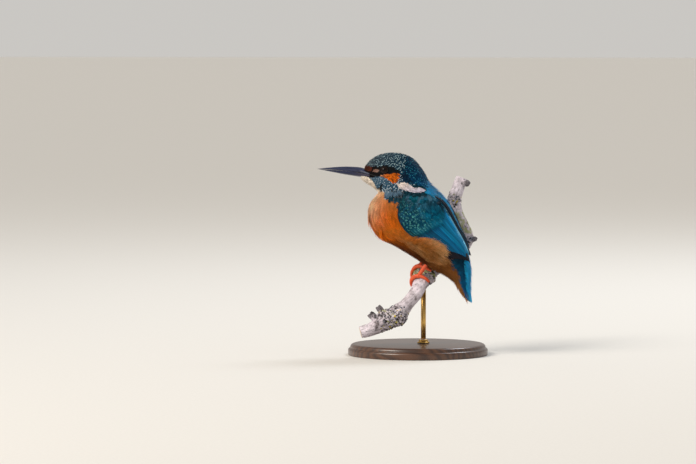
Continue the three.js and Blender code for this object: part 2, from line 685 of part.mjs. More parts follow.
add("head", head(headPlumage), MATERIALS.crown);
add("neck", neck, MATERIALS.crown);
add("bill_upper", upperBill(), MATERIALS.bill);
add("bill_lower", mandible("keel"), MATERIALS.bill);
for (const [name, side] of [["eye_left", -1], ["eye_right", 1]]) add(name, eyeball(side), MATERIALS.eye);

const leftWing = largest(wing().subtract(bodyRoom));
const wingRoom = wing(GAP);
add("wing_left", leftWing, MATERIALS.wing);
add("wing_right", mirrored(leftWing), MATERIALS.wing);

const tailRoom = union([bodySolid(0, TAIL_CUT, GAP), wingRoom, mirrored(wingRoom)]);
add("torso", torso, MATERIALS.breast);
add("tail", largest(tailRoot.add(tailFeathers()).subtract(tailRoom)), MATERIALS.tail);

for (const f of FEET) {
  const legRoom = union([bodyRoom, perchRoom, foot(f, GAP)]);
  add(`leg_${f.side}`, largest(leg(f).subtract(legRoom)), MATERIALS.feet);
  add(`foot_${f.side}`, largest(foot(f).subtract(perchRoom.add(bodyRoom))), MATERIALS.feet);
}

const collarFoot = BASE.height + GAP;
const rodFoot = collarFoot + ROD.collarHeight + GAP;
const rod = solidOfGeometry(upright(ROD.radius, rodFoot, ROD.top, 20));
add("perch", perch(), MATERIALS.bark);
add("stand_base", standBase(), MATERIALS.base);
add("stand_collar", upright(ROD.collar, collarFoot, collarFoot + ROD.collarHeight), MATERIALS.brass);
add("stand_rod", largest(rod.subtract(perchRoom)), MATERIALS.brass);

export default model;
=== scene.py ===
"""Looks of a life-size common kingfisher, a still display model on a cut branch and a turned stand.

Sizes are millimetres until a mesh is built, and the bird faces -X. The plumage's outer surface is one loft
along the body. Every feather is a thin closed vane that lies along it, and the skin is the same loft, sunk.
"""

from __future__ import annotations

import logging
import math
from collections.abc import Callable
from dataclasses import dataclass, field, replace
from enum import Enum

import bpy
import numpy as np
from mathutils import Matrix, Vector, kdtree

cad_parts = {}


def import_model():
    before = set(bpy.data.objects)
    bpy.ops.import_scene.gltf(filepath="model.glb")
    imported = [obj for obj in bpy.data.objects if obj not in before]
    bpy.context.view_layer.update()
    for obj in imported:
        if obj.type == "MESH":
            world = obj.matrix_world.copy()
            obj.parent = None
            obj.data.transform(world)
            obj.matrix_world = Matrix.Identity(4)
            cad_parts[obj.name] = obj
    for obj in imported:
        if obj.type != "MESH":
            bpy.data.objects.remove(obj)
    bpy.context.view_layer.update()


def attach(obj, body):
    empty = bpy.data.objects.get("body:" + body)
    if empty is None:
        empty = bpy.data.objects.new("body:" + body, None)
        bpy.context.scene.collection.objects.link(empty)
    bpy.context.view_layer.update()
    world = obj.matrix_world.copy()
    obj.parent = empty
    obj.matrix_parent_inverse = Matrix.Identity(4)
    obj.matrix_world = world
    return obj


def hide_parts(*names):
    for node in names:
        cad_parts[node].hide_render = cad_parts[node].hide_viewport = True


LOG = logging.getLogger("kingfisher")
MM = 0.001
Array = np.ndarray
Nodes = tuple[str, ...]
Rows = list[tuple[object, ...]]
Points = tuple[tuple[float, float], ...]
KERATIN_IOR = 1.54
CORNEA_IOR = 1.38
LACQUER_IOR = 1.5


# ---------------------------------------------------------------- numbers
def smooth(x: Array | float) -> Array:
    """Eases a share from 0 to 1, and holds it outside."""
    share = np.clip(x, 0, 1)
    return share * share * (3 - 2 * share)


def unit(v: Array) -> Array:
    """Vectors of length one."""
    return v / np.maximum(np.linalg.norm(v, axis=-1, keepdims=True), 1e-9)


def bell(x: Array) -> Array:
    """A bell curve, 1 at 0."""
    return np.exp(-(x**2))


def wrapped(angle: Array) -> Array:
    """The same angles between -pi and pi."""
    return (angle + math.pi) % (2 * math.pi) - math.pi


def corners(sides: int) -> Array:
    """Angles of the corners of a ring."""
    return 2 * math.pi * np.arange(sides) / sides


def grid(a: Array, b: Array) -> Array:
    """All pairs of two rows of numbers."""
    return np.stack(np.meshgrid(a, b, indexing="ij"), -1)


def columns(*parts: Array | float) -> Array:
    """Numbers side by side, each spread to the same length."""
    return np.stack(np.broadcast_arrays(*parts), -1)


def between(low: Array, high: Array, share: Array) -> Array:
    """Values part of the way from low to high."""
    return low * (1 - share) + high * share


def spline(rows: Array, at: Array) -> Array:
    """Reads a smooth curve through the rows of a table.

    Args:
        rows: one row of numbers for each knot.
        at: fractional rows, of any shape.

    Returns:
        The numbers at each place, in one more dimension.
    """
    last = len(rows) - 1
    i = np.clip(np.floor(at), 0, last - 1).astype(int)
    f = (np.asarray(at, float) - i)[..., None]
    b, d = rows[i], rows[i + 1]
    a = np.where((i > 0)[..., None], rows[np.maximum(i - 1, 0)], 2 * b - d)
    e = np.where((i < last - 1)[..., None], rows[np.minimum(i + 2, last)], 2 * d - b)
    bend = (2 * a - 5 * b + 4 * d - e) * f**2 + (3 * b - a - 3 * d + e) * f**3
    return 0.5 * (2 * b + (d - a) * f + bend)


def line(x: Array, points: Points) -> Array:
    """Height of a broken line of (x, height) points over x."""
    xs, heights = np.array(points).T
    return np.interp(x, xs, heights)


def inside(x: Array, z: Array, outline: Points) -> Array:
    """Whether points lie within a polygon."""
    found = np.zeros(np.shape(x), bool)
    for (x0, z0), (x1, z1) in zip(outline, outline[1:] + outline[:1]):
        crosses = (z0 > z) != (z1 > z)
        found ^= crosses & (x < (x1 - x0) * (z - z0) / (z1 - z0 + 1e-12) + x0)
    return found


def linear(hex_colour: int) -> tuple[float, float, float]:
    """An sRGB hex value as linear red, green and blue."""
    shares = [((hex_colour >> shift) & 255) / 255 for shift in (16, 8, 0)]
    return tuple(c / 12.92 if c <= 0.04045 else ((c + 0.055) / 1.055) ** 2.4 for c in shares)


def mixed(first: int, second: int, share: Array) -> Array:
    """Linear colours part of the way from one sRGB hex value to another."""
    return between(np.array(linear(first)), np.array(linear(second)), np.asarray(share)[..., None])


def painted(rgb: Array, mark: Array | float = 0.0) -> Array:
    """Red, green, blue and mark together."""
    return np.concatenate([rgb, np.broadcast_to(mark, rgb.shape[:-1])[..., None]], -1)


# ---------------------------------------------------------------- surfaces
class Surface:
    """A smooth surface over two numbers (a, b). Its normals point out of the bird or the branch."""

    outward = 1.0

    def at(self, ab: Array) -> Array:
        """Points of the surface."""
        raise NotImplementedError

    def slopes(self, ab: Array) -> tuple[Array, Array]:
        """How the point moves with a and with b."""
        step = 0.01
        along = self.at(ab + [step, 0]) - self.at(ab - [step, 0])
        across = self.at(ab + [0, step]) - self.at(ab - [0, step])
        return along / (2 * step), across / (2 * step)

    def normal(self, ab: Array) -> Array:
        """Outward normals."""
        along, across = self.slopes(ab)
        return self.outward * unit(np.cross(along, across))

    def place(self, ab: Array, lift: Array | float) -> Array:
        """Points lifted off the surface along its normals."""
        return self.at(ab) + self.normal(ab) * np.asarray(lift)[..., None]

    def unwrap(self, ab: Array) -> Array:
        """Where places lie on the flat unwrap of the surface."""
        raise NotImplementedError


@dataclass
class Body(Surface):
    """The plumage of head, neck, torso and tail root: station k from bill to tail, and the angle round it.

    Angle 0 is the belly, and the left side runs up to pi, the back.
    """

    # belly x, z, back x, z and half width, from the bill's base to the tip of the undertail coverts
    rows: Array = field(
        default_factory=lambda: np.array([
            [-46.4, 140.9, -43.4, 149.9, 4.7], [-42.6, 137.8, -38.8, 155.6, 6.6],
            [-38.2, 135.2, -29.8, 160.7, 9.2], [-35.0, 132.8, -17.7, 161.8, 11.4],
            [-33.0, 131.2, -4.9, 157.9, 12.7], [-32.6, 129.6, 4.3, 147.4, 14.0],
            [-34.4, 127.4, 9.6, 137.8, 16.2], [-38.9, 121.6, 17.6, 130.2, 19.4],
            [-41.1, 112.8, 25.0, 121.0, 21.6], [-38.4, 102.4, 30.4, 110.6, 22.4],
            [-31.1, 92.8, 34.8, 100.2, 22.0], [-18.8, 86.8, 38.6, 90.4, 20.6],
            [-5.7, 79.2, 41.0, 81.0, 18.0], [9.0, 70.4, 42.2, 73.2, 14.4],
            [22.1, 63.8, 42.8, 66.6, 11.2], [29.6, 58.2, 42.6, 60.4, 9.4],
            [34.9, 50.8, 42.4, 53.6, 7.8], [40.0, 44.4, 42.2, 46.6, 4.4],
        ])
    )
    fullness: float = 0.9
    head_turn: float = math.radians(8)
    pivot_x: float = -5.0

    def straight(self, ab: Array) -> Array:
        """Points as they are before the head turns."""
        r = spline(self.rows, ab[..., 0])
        c = (1 - np.cos(ab[..., 1])) / 2
        s = np.sin(ab[..., 1])
        y = -r[..., 4] * np.sign(s) * np.abs(s) ** self.fullness
        return columns(r[..., 0] + (r[..., 2] - r[..., 0]) * c, y, r[..., 1] + (r[..., 3] - r[..., 1]) * c)

    def turned(self, points: Array, share: Array | float = 1.0) -> Array:
        """Points turned with the head."""
        angle = self.head_turn * np.asarray(share)
        x = points[..., 0] - self.pivot_x
        y = points[..., 1]
        turned_x = self.pivot_x + x * np.cos(angle) - y * np.sin(angle)
        return columns(turned_x, x * np.sin(angle) + y * np.cos(angle), points[..., 2])

    def at(self, ab: Array) -> Array:
        """Points of the plumage."""
        return self.turned(self.straight(ab), smooth((6.6 - ab[..., 0]) / 2.8))

    def unwrap(self, ab: Array) -> Array:
        """Angle across and station up."""
        return 0.02 + 0.96 * columns(ab[..., 1] / (2 * math.pi) % 1, ab[..., 0] / (len(self.rows) - 1))

    def seat(self, x: float, z: float) -> Array:
        """The place on the left cheek, as station and angle, that is level with an x and z of the profile."""
        places = grid(np.arange(0, 6, 0.05), np.arange(0.1, math.pi, 0.03)).reshape(-1, 2)
        p = self.straight(places)
        return places[np.argmin(np.hypot(p[:, 0] - x, p[:, 2] - z))]


# the body's station and angle in degrees along the wing's lower edge, which the flank feathers curl over
WING_REAR_EDGE = ((9.2, 79), (9.9, 83), (10.6, 93), (11.4, 104), (12.3, 115), (13.1, 128))


@dataclass
class Wing(Surface):
    """The folded left wing on the body: s from shoulder to tip, and t from its lower to its upper edge."""

    body: Body
    # body station and angle in degrees, from the shoulder to the tip
    lower: Array = field(
        default_factory=lambda: np.array([
            [7.2, 87], [7.9, 83], [8.5, 79], *WING_REAR_EDGE,
        ])
    )
    upper: Array = field(
        default_factory=lambda: np.array([
            [6.85, 118], [6.95, 131], [7.2, 142], [7.7, 151], [8.45, 155], [9.4, 158.5], [10.4, 163],
            [11.5, 167], [12.9, 171],
        ])
    )
    tip_lift: float = 1.4

    def on_body(self, ab: Array) -> Array:
        """The body's station and angle under places of the wing."""
        last = len(self.lower) - 1
        low, high = spline(self.lower, ab[..., 0] * last), spline(self.upper, ab[..., 0] * last)
        both = low + (high - low) * ab[..., 1:2]
        return columns(both[..., 0], np.radians(both[..., 1]))

    def at(self, ab: Array) -> Array:
        """Points of the wing's bed, which leaves the body towards the tip."""
        return self.body.place(self.on_body(ab), self.tip_lift * smooth((ab[..., 0] - 0.62) / 0.38))

    def bed(self, ab: Array) -> Array:
        """How high the fleshy pad under the coverts stands."""
        s, t = ab[..., 0], np.clip(ab[..., 1], 0, 1)
        swell = smooth((s + 0.02) / 0.2) * (1 - 0.7 * smooth((s - 0.2) / 0.42))
        steep = 0.6 + 0.8 * smooth((t - 0.45) / 0.35)
        return -0.7 + 2.4 * swell * np.sin(math.pi * (0.08 + 0.89 * t)) ** steep

    def stack(self, ab: Array) -> Array:
        """How high the layers of feathers stand, thin at both edges and towards the tip."""
        s, t = ab[..., 0], np.clip(ab[..., 1], 0, 1)
        length = 0.9 + 2.1 * smooth((s + 0.08) / 0.2) - 1.2 * smooth((s - 0.45) / 0.5)
        return length * (0.4 + 0.6 * smooth(t / 0.22)) * (0.18 + 0.82 * smooth((1.0 - t) / 0.32))

    def unwrap(self, ab: Array) -> Array:
        """The wing's own two numbers."""
        return 0.05 + 0.9 * (ab + [0.1, 0.1]) / 1.2


@dataclass
class Tail(Surface):
    """The folded tail, a shallow roof: u down its length, and across its half width, 1 at the left edge."""

    outward = -1.0
    root: tuple[float, float, float] = (38.6, 0.0, 78.0)
    tip: tuple[float, float, float] = (43.6, 0.0, 41.4)
    half: float = 8.8
    drop: float = 3.1
    shorter: float = 6.5

    def at(self, ab: Array) -> Array:
        """Points of the tail."""
        u, across = ab[..., 0], ab[..., 1]
        root, tip = np.array(self.root), np.array(self.tip)
        short = self.shorter / np.linalg.norm(tip - root) * u * across**2
        ridge = root + (tip - root) * (u * (1 - short))[..., None]
        half = self.half * (0.5 + 0.5 * smooth(u / 0.8))
        return ridge - columns(self.drop * np.abs(across) ** 1.6, half * across, 0.0)

    def unwrap(self, ab: Array) -> Array:
        """The tail's own two numbers."""
        return columns(0.5 + 0.4 * ab[..., 1], 0.05 + 0.9 * ab[..., 0])


@dataclass(frozen=True)
class Knot:
    """A swelling of the branch: station, angle in degrees, height, and spread along and round it."""

    along: float
    angle: float
    high: float
    reach: float
    spread: float

    def off(self, along: Array, angle: Array) -> Array:
        """How far places are from its middle, as a share of its spread, squared."""
        turn = wrapped(angle - math.radians(self.angle))
        return (turn / math.radians(self.spread)) ** 2 + ((along - self.along) / self.reach) ** 2


@dataclass
class Branch(Surface):
    """The bark of the perch: station along its centre line, and the angle round it."""

    outward = -1.0
    rows: Array = field(
        default_factory=lambda: np.array([
            [-40.5, -31.0, 19.6, 4.5], [-33.6, -29.0, 21.4, 5.2], [-26.5, -26.0, 25.2, 6.0],
            [-17.7, -21.5, 30.4, 7.2], [-10.2, -18.0, 36.8, 6.2], [-5.3, -14.5, 42.6, 5.3],
            [0.4, -9.5, 50.4, 5.3], [2.8, -2.0, 57.4, 6.2], [3.8, 6.8, 63.0, 7.0],
            [12.0, 19.0, 70.6, 6.0], [22.5, 29.5, 79.6, 5.5], [31.6, 36.0, 90.0, 6.4],
            [28.6, 38.0, 102.6, 5.4], [24.2, 39.0, 113.0, 5.0], [21.8, 39.5, 122.0, 5.6],
            [25.1, 40.0, 131.8, 4.9], [28.4, 41.0, 140.6, 4.6],
        ])
    )
    knots: tuple[Knot, ...] = (
        Knot(2.6, -120, 3.0, 0.5, 55),
        Knot(3.5, 30, 3.8, 0.55, 55),
        Knot(7.75, 15, 4.2, 0.5, 40),
        Knot(8.1, -150, 1.6, 0.5, 55),
        Knot(14.1, 5, 1.8, 0.3, 40),
        Knot(13.6, -11, -2.8, 0.14, 24),
    )
    lean: tuple[float, float, float] = (0.7071, -0.7071, 0.0)

    def axes(self, along: Array) -> tuple[Array, Array, Array, Array, Array]:
        """Centre, direction, the two cross directions and the radius at stations."""
        last = len(self.rows) - 1
        here = spline(self.rows, along)
        ahead = spline(self.rows, np.minimum(along + 0.05, last))[..., :3]
        behind = spline(self.rows, np.maximum(along - 0.05, 0))[..., :3]
        direction = unit(ahead - behind)
        lean = np.array(self.lean)
        first = unit(lean - direction * (direction @ lean)[..., None])
        return here[..., :3], direction, first, np.cross(direction, first), here[..., 3]

    def at(self, ab: Array) -> Array:
        """Points of the bark."""
        along, angle = ab[..., 0], ab[..., 1]
        centre, _, first, second, radius = self.axes(along)
        wave = 0.035 * np.sin(3 * angle + 2.1 * along) + 0.03 * np.sin(2 * angle - 3.3 * along)
        radius = radius * (1 + wave)
        for knot in self.knots:
            radius = radius + knot.high * np.exp(-knot.off(along, angle))
        out = first * np.cos(angle)[..., None] + second * np.sin(angle)[..., None]
        return centre + out * radius[..., None]

    def knotty(self, along: Array, wider: float = 1.0, hollows: bool = False) -> Array:
        """How near stations are to the knots."""
        return sum(bell((along - knot.along) / (wider * knot.reach))
                   for knot in self.knots if hollows or knot.high > 0)

    def off(self, along: Array, angle: Array, lift: Array | float) -> Array:
        """Points lifted straight off the branch's centre line."""
        bark = self.at(columns(along, angle))
        return bark + unit(bark - self.axes(along)[0]) * np.asarray(lift)[..., None]


# ---------------------------------------------------------------- meshes
@dataclass
class Mesh:
    """Triangles in millimetres, with what their finish reads at each point.

    Colour is linear red, green, blue and a mark. Vane is the place across and along a feather, or round and
    along any other piece, and a random share. Rim marks sharp edges, and patch places it on the OFBake map.
    """

    points: Array
    faces: Array
    colour: Array | None = None
    vane: Array | None = None
    rim: Array | None = None
    patch: Array | None = None

    def mirrored(self) -> Mesh:
        """The mesh on the bird's other side."""
        return replace(self, points=self.points * [1, -1, 1], faces=self.faces[:, ::-1])


def joined(meshes: list[Mesh]) -> Mesh:
    """Several meshes as one, filling in what some of them lack."""
    starts = np.cumsum([0] + [len(m.points) for m in meshes])
    faces = np.concatenate([m.faces + start for m, start in zip(meshes, starts)])

    def gathered(name: str, width: int) -> Array | None:
        parts = [getattr(m, name) for m in meshes]
        if all(p is None for p in parts):
            return None
        blank = [np.zeros((len(m.points), width)) if p is None else p.reshape(-1, width)
                 for m, p in zip(meshes, parts)]
        return np.concatenate(blank)

    rim = gathered("rim", 1)
    return Mesh(
        np.concatenate([m.points for m in meshes]), faces, gathered("colour", 4), gathered("vane", 3),
        None if rim is None else rim[:, 0] > 0, gathered("patch", 2),
    )


def tube(rings: Array, colour: Array | None = None, closed: bool = True) -> Mesh:
    """A lofted tube.

    Args:
        rings: points by ring and corner.
        colour: red, green, blue and mark by ring and corner.
        closed: whether both ends are closed by fans.

    Returns:
        The tube, whose vane values are the shares round and along it.
    """
    count, sides = rings.shape[:2]
    r, j = np.moveaxis(grid(np.arange(count - 1), np.arange(sides)), -1, 0)
    a, b = r * sides + j, r * sides + (j + 1) % sides
    halves = columns(a, b, b + sides), columns(a, b + sides, a + sides)
    faces = np.concatenate([half.reshape(-1, 3) for half in halves])
    points = rings.reshape(-1, 3)
    share = grid(np.arange(count) / (count - 1), np.arange(sides) / sides)
    vane = painted(share[..., ::-1]).reshape(-1, 3)
    shades = None if colour is None else colour.reshape(-1, 4)
    if closed:
        for first, flip in ((0, True), ((count - 1) * sides, False)):
            ring = np.arange(first, first + sides)
            middle = len(points)
            points = np.concatenate([points, points[ring].mean(0, keepdims=True)])
            vane = np.concatenate([vane, vane[ring].mean(0, keepdims=True)])
            if shades is not None:
                shades = np.concatenate([shades, shades[ring].mean(0, keepdims=True)])
            fan = columns(middle, ring, np.roll(ring, -1))
            faces = np.concatenate([faces, fan[:, ::-1] if flip else fan])
    mesh = Mesh(points, faces, shades, vane)
    if signed_volume(mesh) < 0:
        mesh.faces = mesh.faces[:, ::-1]
    return mesh


def signed_volume(mesh: Mesh) -> float:
    """Volume within the faces, negative where they face inwards."""
    a, b, c = (mesh.points[mesh.faces[:, i]] for i in range(3))
    return float(np.einsum("ij,ij->", a, np.cross(b, c)))


def hoops(centre: Array, first: Array, second: Array, radii: Array, sides: int) -> Array:
    """Rings about centres, in the plane of two directions, with a radius for each ring or for each corner."""
    radii = radii.reshape(len(radii), -1)
    wide, high = (radii * turn(corners(sides)) for turn in (np.cos, np.sin))
    out = first[..., None, :] * wide[..., None] + second[..., None, :] * high[..., None]
    return centre[..., None, :] + out


def round_section(path: Array, radii: Array, sides: int) -> Array:
    """Rings of a tube round a path that nowhere runs along the slant which the rings start from."""
    slant = (0.21, 0.17, 1)
    tangent = unit(np.gradient(path, axis=0))
    across = unit(np.cross(slant, tangent))
    return hoops(path, across, np.cross(tangent, across), radii, sides)


def build(name: str, mesh: Mesh, material: bpy.types.Material, replaced: Nodes = ()) -> None:
    """Makes the Blender object of a mesh and puts it on the frame.

    Args:
        name: the piece's name.
        mesh: its triangles.
        material: its finish.
        replaced: the CAD nodes that it stands for.
    """
    data = bpy.data.meshes.new(name)
    data.vertices.add(len(mesh.points))
    data.vertices.foreach_set("co", (mesh.points * MM).astype(np.float32).ravel())
    data.loops.add(len(mesh.faces) * 3)
    data.loops.foreach_set("vertex_index", mesh.faces.astype(np.int32).ravel())
    data.polygons.add(len(mesh.faces))
    data.polygons.foreach_set("loop_start", np.arange(0, len(mesh.faces) * 3, 3, dtype=np.int32))
    data.update(calc_edges=True)
    data.polygons.foreach_set("use_smooth", np.ones(len(mesh.faces), bool))
    for label, kind, key, values in (("marking", "FLOAT_COLOR", "color", mesh.colour),
                                     ("vane", "FLOAT_VECTOR", "vector", mesh.vane)):
        if values is not None:
            data.attributes.new(label, kind, "POINT").data.foreach_set(key, values.astype(np.float32).ravel())
    if mesh.patch is not None:
        uv = data.uv_layers.new(name="OFBake")
        uv.data.foreach_set("uv", mesh.patch[mesh.faces.ravel()].astype(np.float32).ravel())
    if mesh.rim is not None:
        ends = np.empty(len(data.edges) * 2, np.int32)
        data.edges.foreach_get("vertices", ends)
        sharp = data.attributes.new("sharp_edge", "BOOLEAN", "EDGE")
        sharp.data.foreach_set("value", mesh.rim[ends.reshape(-1, 2)].all(1))
    data.materials.append(material)
    piece = bpy.data.objects.new(name, data)
    bpy.context.scene.collection.objects.link(piece)
    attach(piece, "root")
    if replaced:
        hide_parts(*replaced)
    LOG.info("%s: %d triangles", name, len(mesh.faces))


# ---------------------------------------------------------------- feathers
# places drawn before scatter thins them out
DRAWS = 60000


@dataclass(frozen=True)
class Vane:
    """The shape of one kind of feather: its rows are shares of its length and of its half width."""

    rows: tuple[tuple[float, float], ...]
    columns: int
    sweep: float = 0.1
    fringe: float = 0.0
    thick: float = 0.12
    shaft: float = 0.0
    camber: float = 0.1
    bends: bool = False

    def template(self, rng: np.random.Generator) -> tuple[Array, Array, Array]:
        """A closed vane.

        Args:
            rng: draws the lengths of the loose barbs at its tip.

        Returns:
            Points as (across, along, height), faces, and which points lie on the rim.
        """
        xs = np.linspace(-1, 1, self.columns + 1)
        points = [(x * w, y - self.sweep * x * x * y, 1 - x * x + self.shaft * (x == 0))
                  for y, w in self.rows for x in xs]
        faces = []
        wide = self.columns + 1
        for r in range(len(self.rows) - 1):
            for c in range(self.columns):
                a = r * wide + c
                faces += [(a, a + 1, a + wide + 1), (a, a + wide + 1, a + wide)]
        if self.fringe:
            first = (len(self.rows) - 1) * wide
            for c in range(self.columns):
                root = (xs[c] + xs[c + 1]) / 2
                end = root * 1.15 + rng.uniform(-0.12, 0.12)
                reach = self.fringe * rng.uniform(0.55, 1.15) * (1 - 0.45 * end**2)
                y = points[first + c][1] / 2 + points[first + c + 1][1] / 2
                left, right, half = first + c, first + c + 1, 0.35 * (xs[1] - xs[0])
                if self.bends:
                    middle, n = (root + end) / 2, len(points)
                    points += [((middle + x) * self.rows[-1][1], y + reach / 2, 0.0) for x in (-half, half)]
                    faces += [(left, right, n + 1), (left, n + 1, n)]
                    left, right = n, n + 1
                points.append((end * self.rows[-1][1], y + reach, 0.0))
                faces.append((left, right, len(points) - 1))
        return self.closed(np.array(points), np.array(faces))

    def closed(self, points: Array, faces: Array) -> tuple[Array, Array, Array]:
        """Adds the underside, joined along the rim."""
        edges = np.concatenate([faces[:, [0, 1]], faces[:, [1, 2]], faces[:, [2, 0]]])
        keys = np.sort(edges, 1) @ [len(points), 1]
        values, counts = np.unique(keys, return_counts=True)
        lone = edges[np.isin(keys, values[counts == 1])]
        rim = np.zeros(len(points), bool)
        rim[lone.ravel()] = True
        points[rim, 2] = 0
        below = np.where(rim, np.arange(len(points)), 0)
        below[~rim] = len(points) + np.arange((~rim).sum())
        under = points[~rim] * [1, 1, -1]
        return (np.concatenate([points, under]), np.concatenate([faces, below[faces][:, ::-1]]),
                np.concatenate([rim, np.zeros(len(under), bool)]))


class Kind(Enum):
    """The kinds of feather."""

    BRISTLE = Vane(((0, 0.6), (0.55, 1), (1, 0.2)), 2, sweep=0.05, thick=0.1)
    TUFT = Vane(((0, 0.5), (0.35, 0.92), (0.68, 1)), 8, sweep=0.16, fringe=0.36, thick=0.1, camber=0.13)
    LOOSE = Vane(((0, 0.35), (0.3, 0.95)), 12, sweep=0.1, fringe=0.78, thick=0.1, camber=0.06, bends=True)
    COVERT = Vane(((0, 0.45), (0.3, 0.85), (0.6, 1), (0.84, 0.92), (0.95, 0.7), (1, 0.42)), 6, sweep=0.06,
                  thick=0.18, shaft=0.35, camber=0.1)
    FLIGHT = Vane(((0, 0.5), (0.15, 0.68), (0.32, 0.86), (0.5, 0.97), (0.66, 1), (0.8, 0.94), (0.9, 0.8),
                   (0.96, 0.58), (1, 0.28)), 8, sweep=0.03, thick=0.3, shaft=0.5, camber=0.06)


@dataclass
class Feathers:
    """A set of like feathers to grow on a surface. Each array has one value for each feather.

    Roots and tips are places of the surface. Lifts are the heights over it of root and tip, and of the edge
    across +1, which lies on the lower side of a wing.
    """

    roots: Array
    tips: Array
    width: Array
    lifts: Array
    colour: Array
    kind: Kind


def moved(ab: Array, slopes: tuple[Array, Array], move: Array) -> Array:
    """Places of a surface that lie a move in millimetres away, by the surface's slopes there."""
    along, across = slopes
    aa, both, bb = ((p * q).sum(-1) for p, q in ((along, along), (along, across), (across, across)))
    ma, mb = (move * along).sum(-1), (move * across).sum(-1)
    spread = np.maximum(aa * bb - both**2, 1e-9)
    return ab + columns((bb * ma - both * mb) / spread, (aa * mb - both * ma) / spread)


def grow(surface: Surface, feathers: Feathers, seed: int, cell: float = 0.003) -> Mesh:
    """Grows feathers along a surface.

    Args:
        surface: what they lie on.
        feathers: their places, sizes and colours.
        seed: of the draws of their barbs.
        cell: size of each feather's patch on the OFBake map.

    Returns:
        All of them as one mesh.
    """
    rng = np.random.default_rng(seed)
    shape = feathers.kind.value
    variants = [shape.template(rng) for _ in range(4 if shape.fringe else 1)]
    pick = rng.integers(len(variants), size=len(feathers.roots))
    made = []
    for number, (points, faces, rim) in enumerate(variants):
        own = pick == number
        if not own.any():
            continue
        roots, tips = feathers.roots[own, None], feathers.tips[own, None]
        width, lifts = feathers.width[own, None], feathers.lifts[own]
        x, y, high = points.T
        run = tips - roots
        centre = roots + run * y[None, :, None]
        along, across = slopes = surface.slopes(centre)
        ahead = unit(along * run[..., :1] + across * run[..., 1:])
        normal = surface.outward * unit(np.cross(along, across))
        place = moved(centre, slopes, np.cross(ahead, normal) * (x * width / 2)[..., None])
        rise = 0.6 * y + 0.4 * smooth(1.25 * y)
        lift = lifts[:, :1] + (lifts[:, 1:2] - lifts[:, :1]) * rise + lifts[:, 2:] * x
        lift = lift - shape.camber * width / 2 * x**2 + shape.thick * high / 2
        grown = surface.place(place, lift)
        count, size = grown.shape[:2]
        vane = columns(x, y, rng.random(count)[:, None])
        corner = surface.unwrap(roots) + cell * columns(x / 2, y - 0.5)[None]
        colour = np.broadcast_to(feathers.colour[own][:, None], (count, size, 4))
        starts = np.arange(count)[:, None, None] * size
        made.append(Mesh(
            grown.reshape(-1, 3), (faces[None] + starts).reshape(-1, 3), colour.reshape(-1, 4),
            vane.reshape(-1, 3), np.tile(rim, count), corner.reshape(-1, 2),
        ))
    return joined(made)


def aim(surface: Surface, places: Array, yaw: Array, length: Array) -> Array:
    """Places that lie a length away, in a direction turned by yaw from the surface's own length."""
    slopes = surface.slopes(places)
    ahead = unit(slopes[0])
    beside = unit(np.cross(surface.normal(places), slopes[0]))
    heading = ahead * np.cos(yaw)[:, None] + beside * np.sin(yaw)[:, None]
    return moved(places, slopes, heading * length[:, None])


def scatter(
    surface: Surface, low: tuple[float, float], high: tuple[float, float], gap: float,
    keep: Callable[[Array], Array], seed: int,
) -> Array:
    """Spreads places over a surface, none nearer to another than a gap.

    Args:
        surface: what they lie on.
        low: lowest (a, b).
        high: highest (a, b).
        gap: least distance in millimetres.
        keep: tells which of an array of places may stay.
        seed: of the draws.

    Returns:
        The places.
    """
    rng = np.random.default_rng(seed)
    draws = np.array(low) + (np.array(high) - low) * rng.random((DRAWS, 2))
    along, across = surface.slopes(draws)
    weight = np.linalg.norm(np.cross(along, across), axis=1)
    area = weight.mean() * (high[0] - low[0]) * (high[1] - low[1])
    wanted = min(len(draws), int(9 * area / gap**2))
    draws = draws[rng.choice(len(draws), wanted, replace=False, p=weight / weight.sum())]
    draws = draws[keep(draws)]
    points = surface.at(draws)
    tree = kdtree.KDTree(len(points))
    for i, p in enumerate(points):
        tree.insert(p, i)
    tree.balance()
    free = np.ones(len(points), bool)
    chosen = []
    for i, p in enumerate(points):
        if free[i]:
            chosen.append(i)
            for _, j, _ in tree.find_range(p, gap):
                free[j] = False
    return draws[chosen]


# ---------------------------------------------------------------- markings
class Region(Enum):
    """The fields of the plumage, each with its own colour and size of feather."""

    CROWN = 0
    NAPE = 1
    LORE = 2
    RUFOUS = 3
    BUFF = 4
    EAR = 5
    WHITE = 6
    MALAR = 7
    NECK = 8
    CHIN = 9
    BREAST = 10
    BELLY = 11
    FLANK = 12
    VENT = 13
    MANTLE = 14
    AZURE = 15
    RUMP_SIDE = 16


@dataclass(frozen=True)
class Field:
    """One field: colours at its front and its rear, and its feathers.

    Mark is the strength of the pale spot at a feather's tip, and marked is the share of feathers that have
    one. Length, width and gap are in millimetres, the first two at front and rear. Depth is how far the roots
    sink, loft how far the tips rise, and ruffle how far feathers turn off the lie, in radians.
    """

    front: int
    rear: int
    stations: tuple[float, float]
    kind: Kind
    length: tuple[float, float]
    width: tuple[float, float]
    gap: float
    mark: float = 0.0
    marked: float = 1.0
    depth: float = 0.8
    loft: float = 0.1
    ruffle: float = 0.12

    def share(self, k: Array) -> Array:
        """How far stations are from the field's front to its rear."""
        return np.clip((k - self.stations[0]) / (self.stations[1] - self.stations[0]), 0, 1)


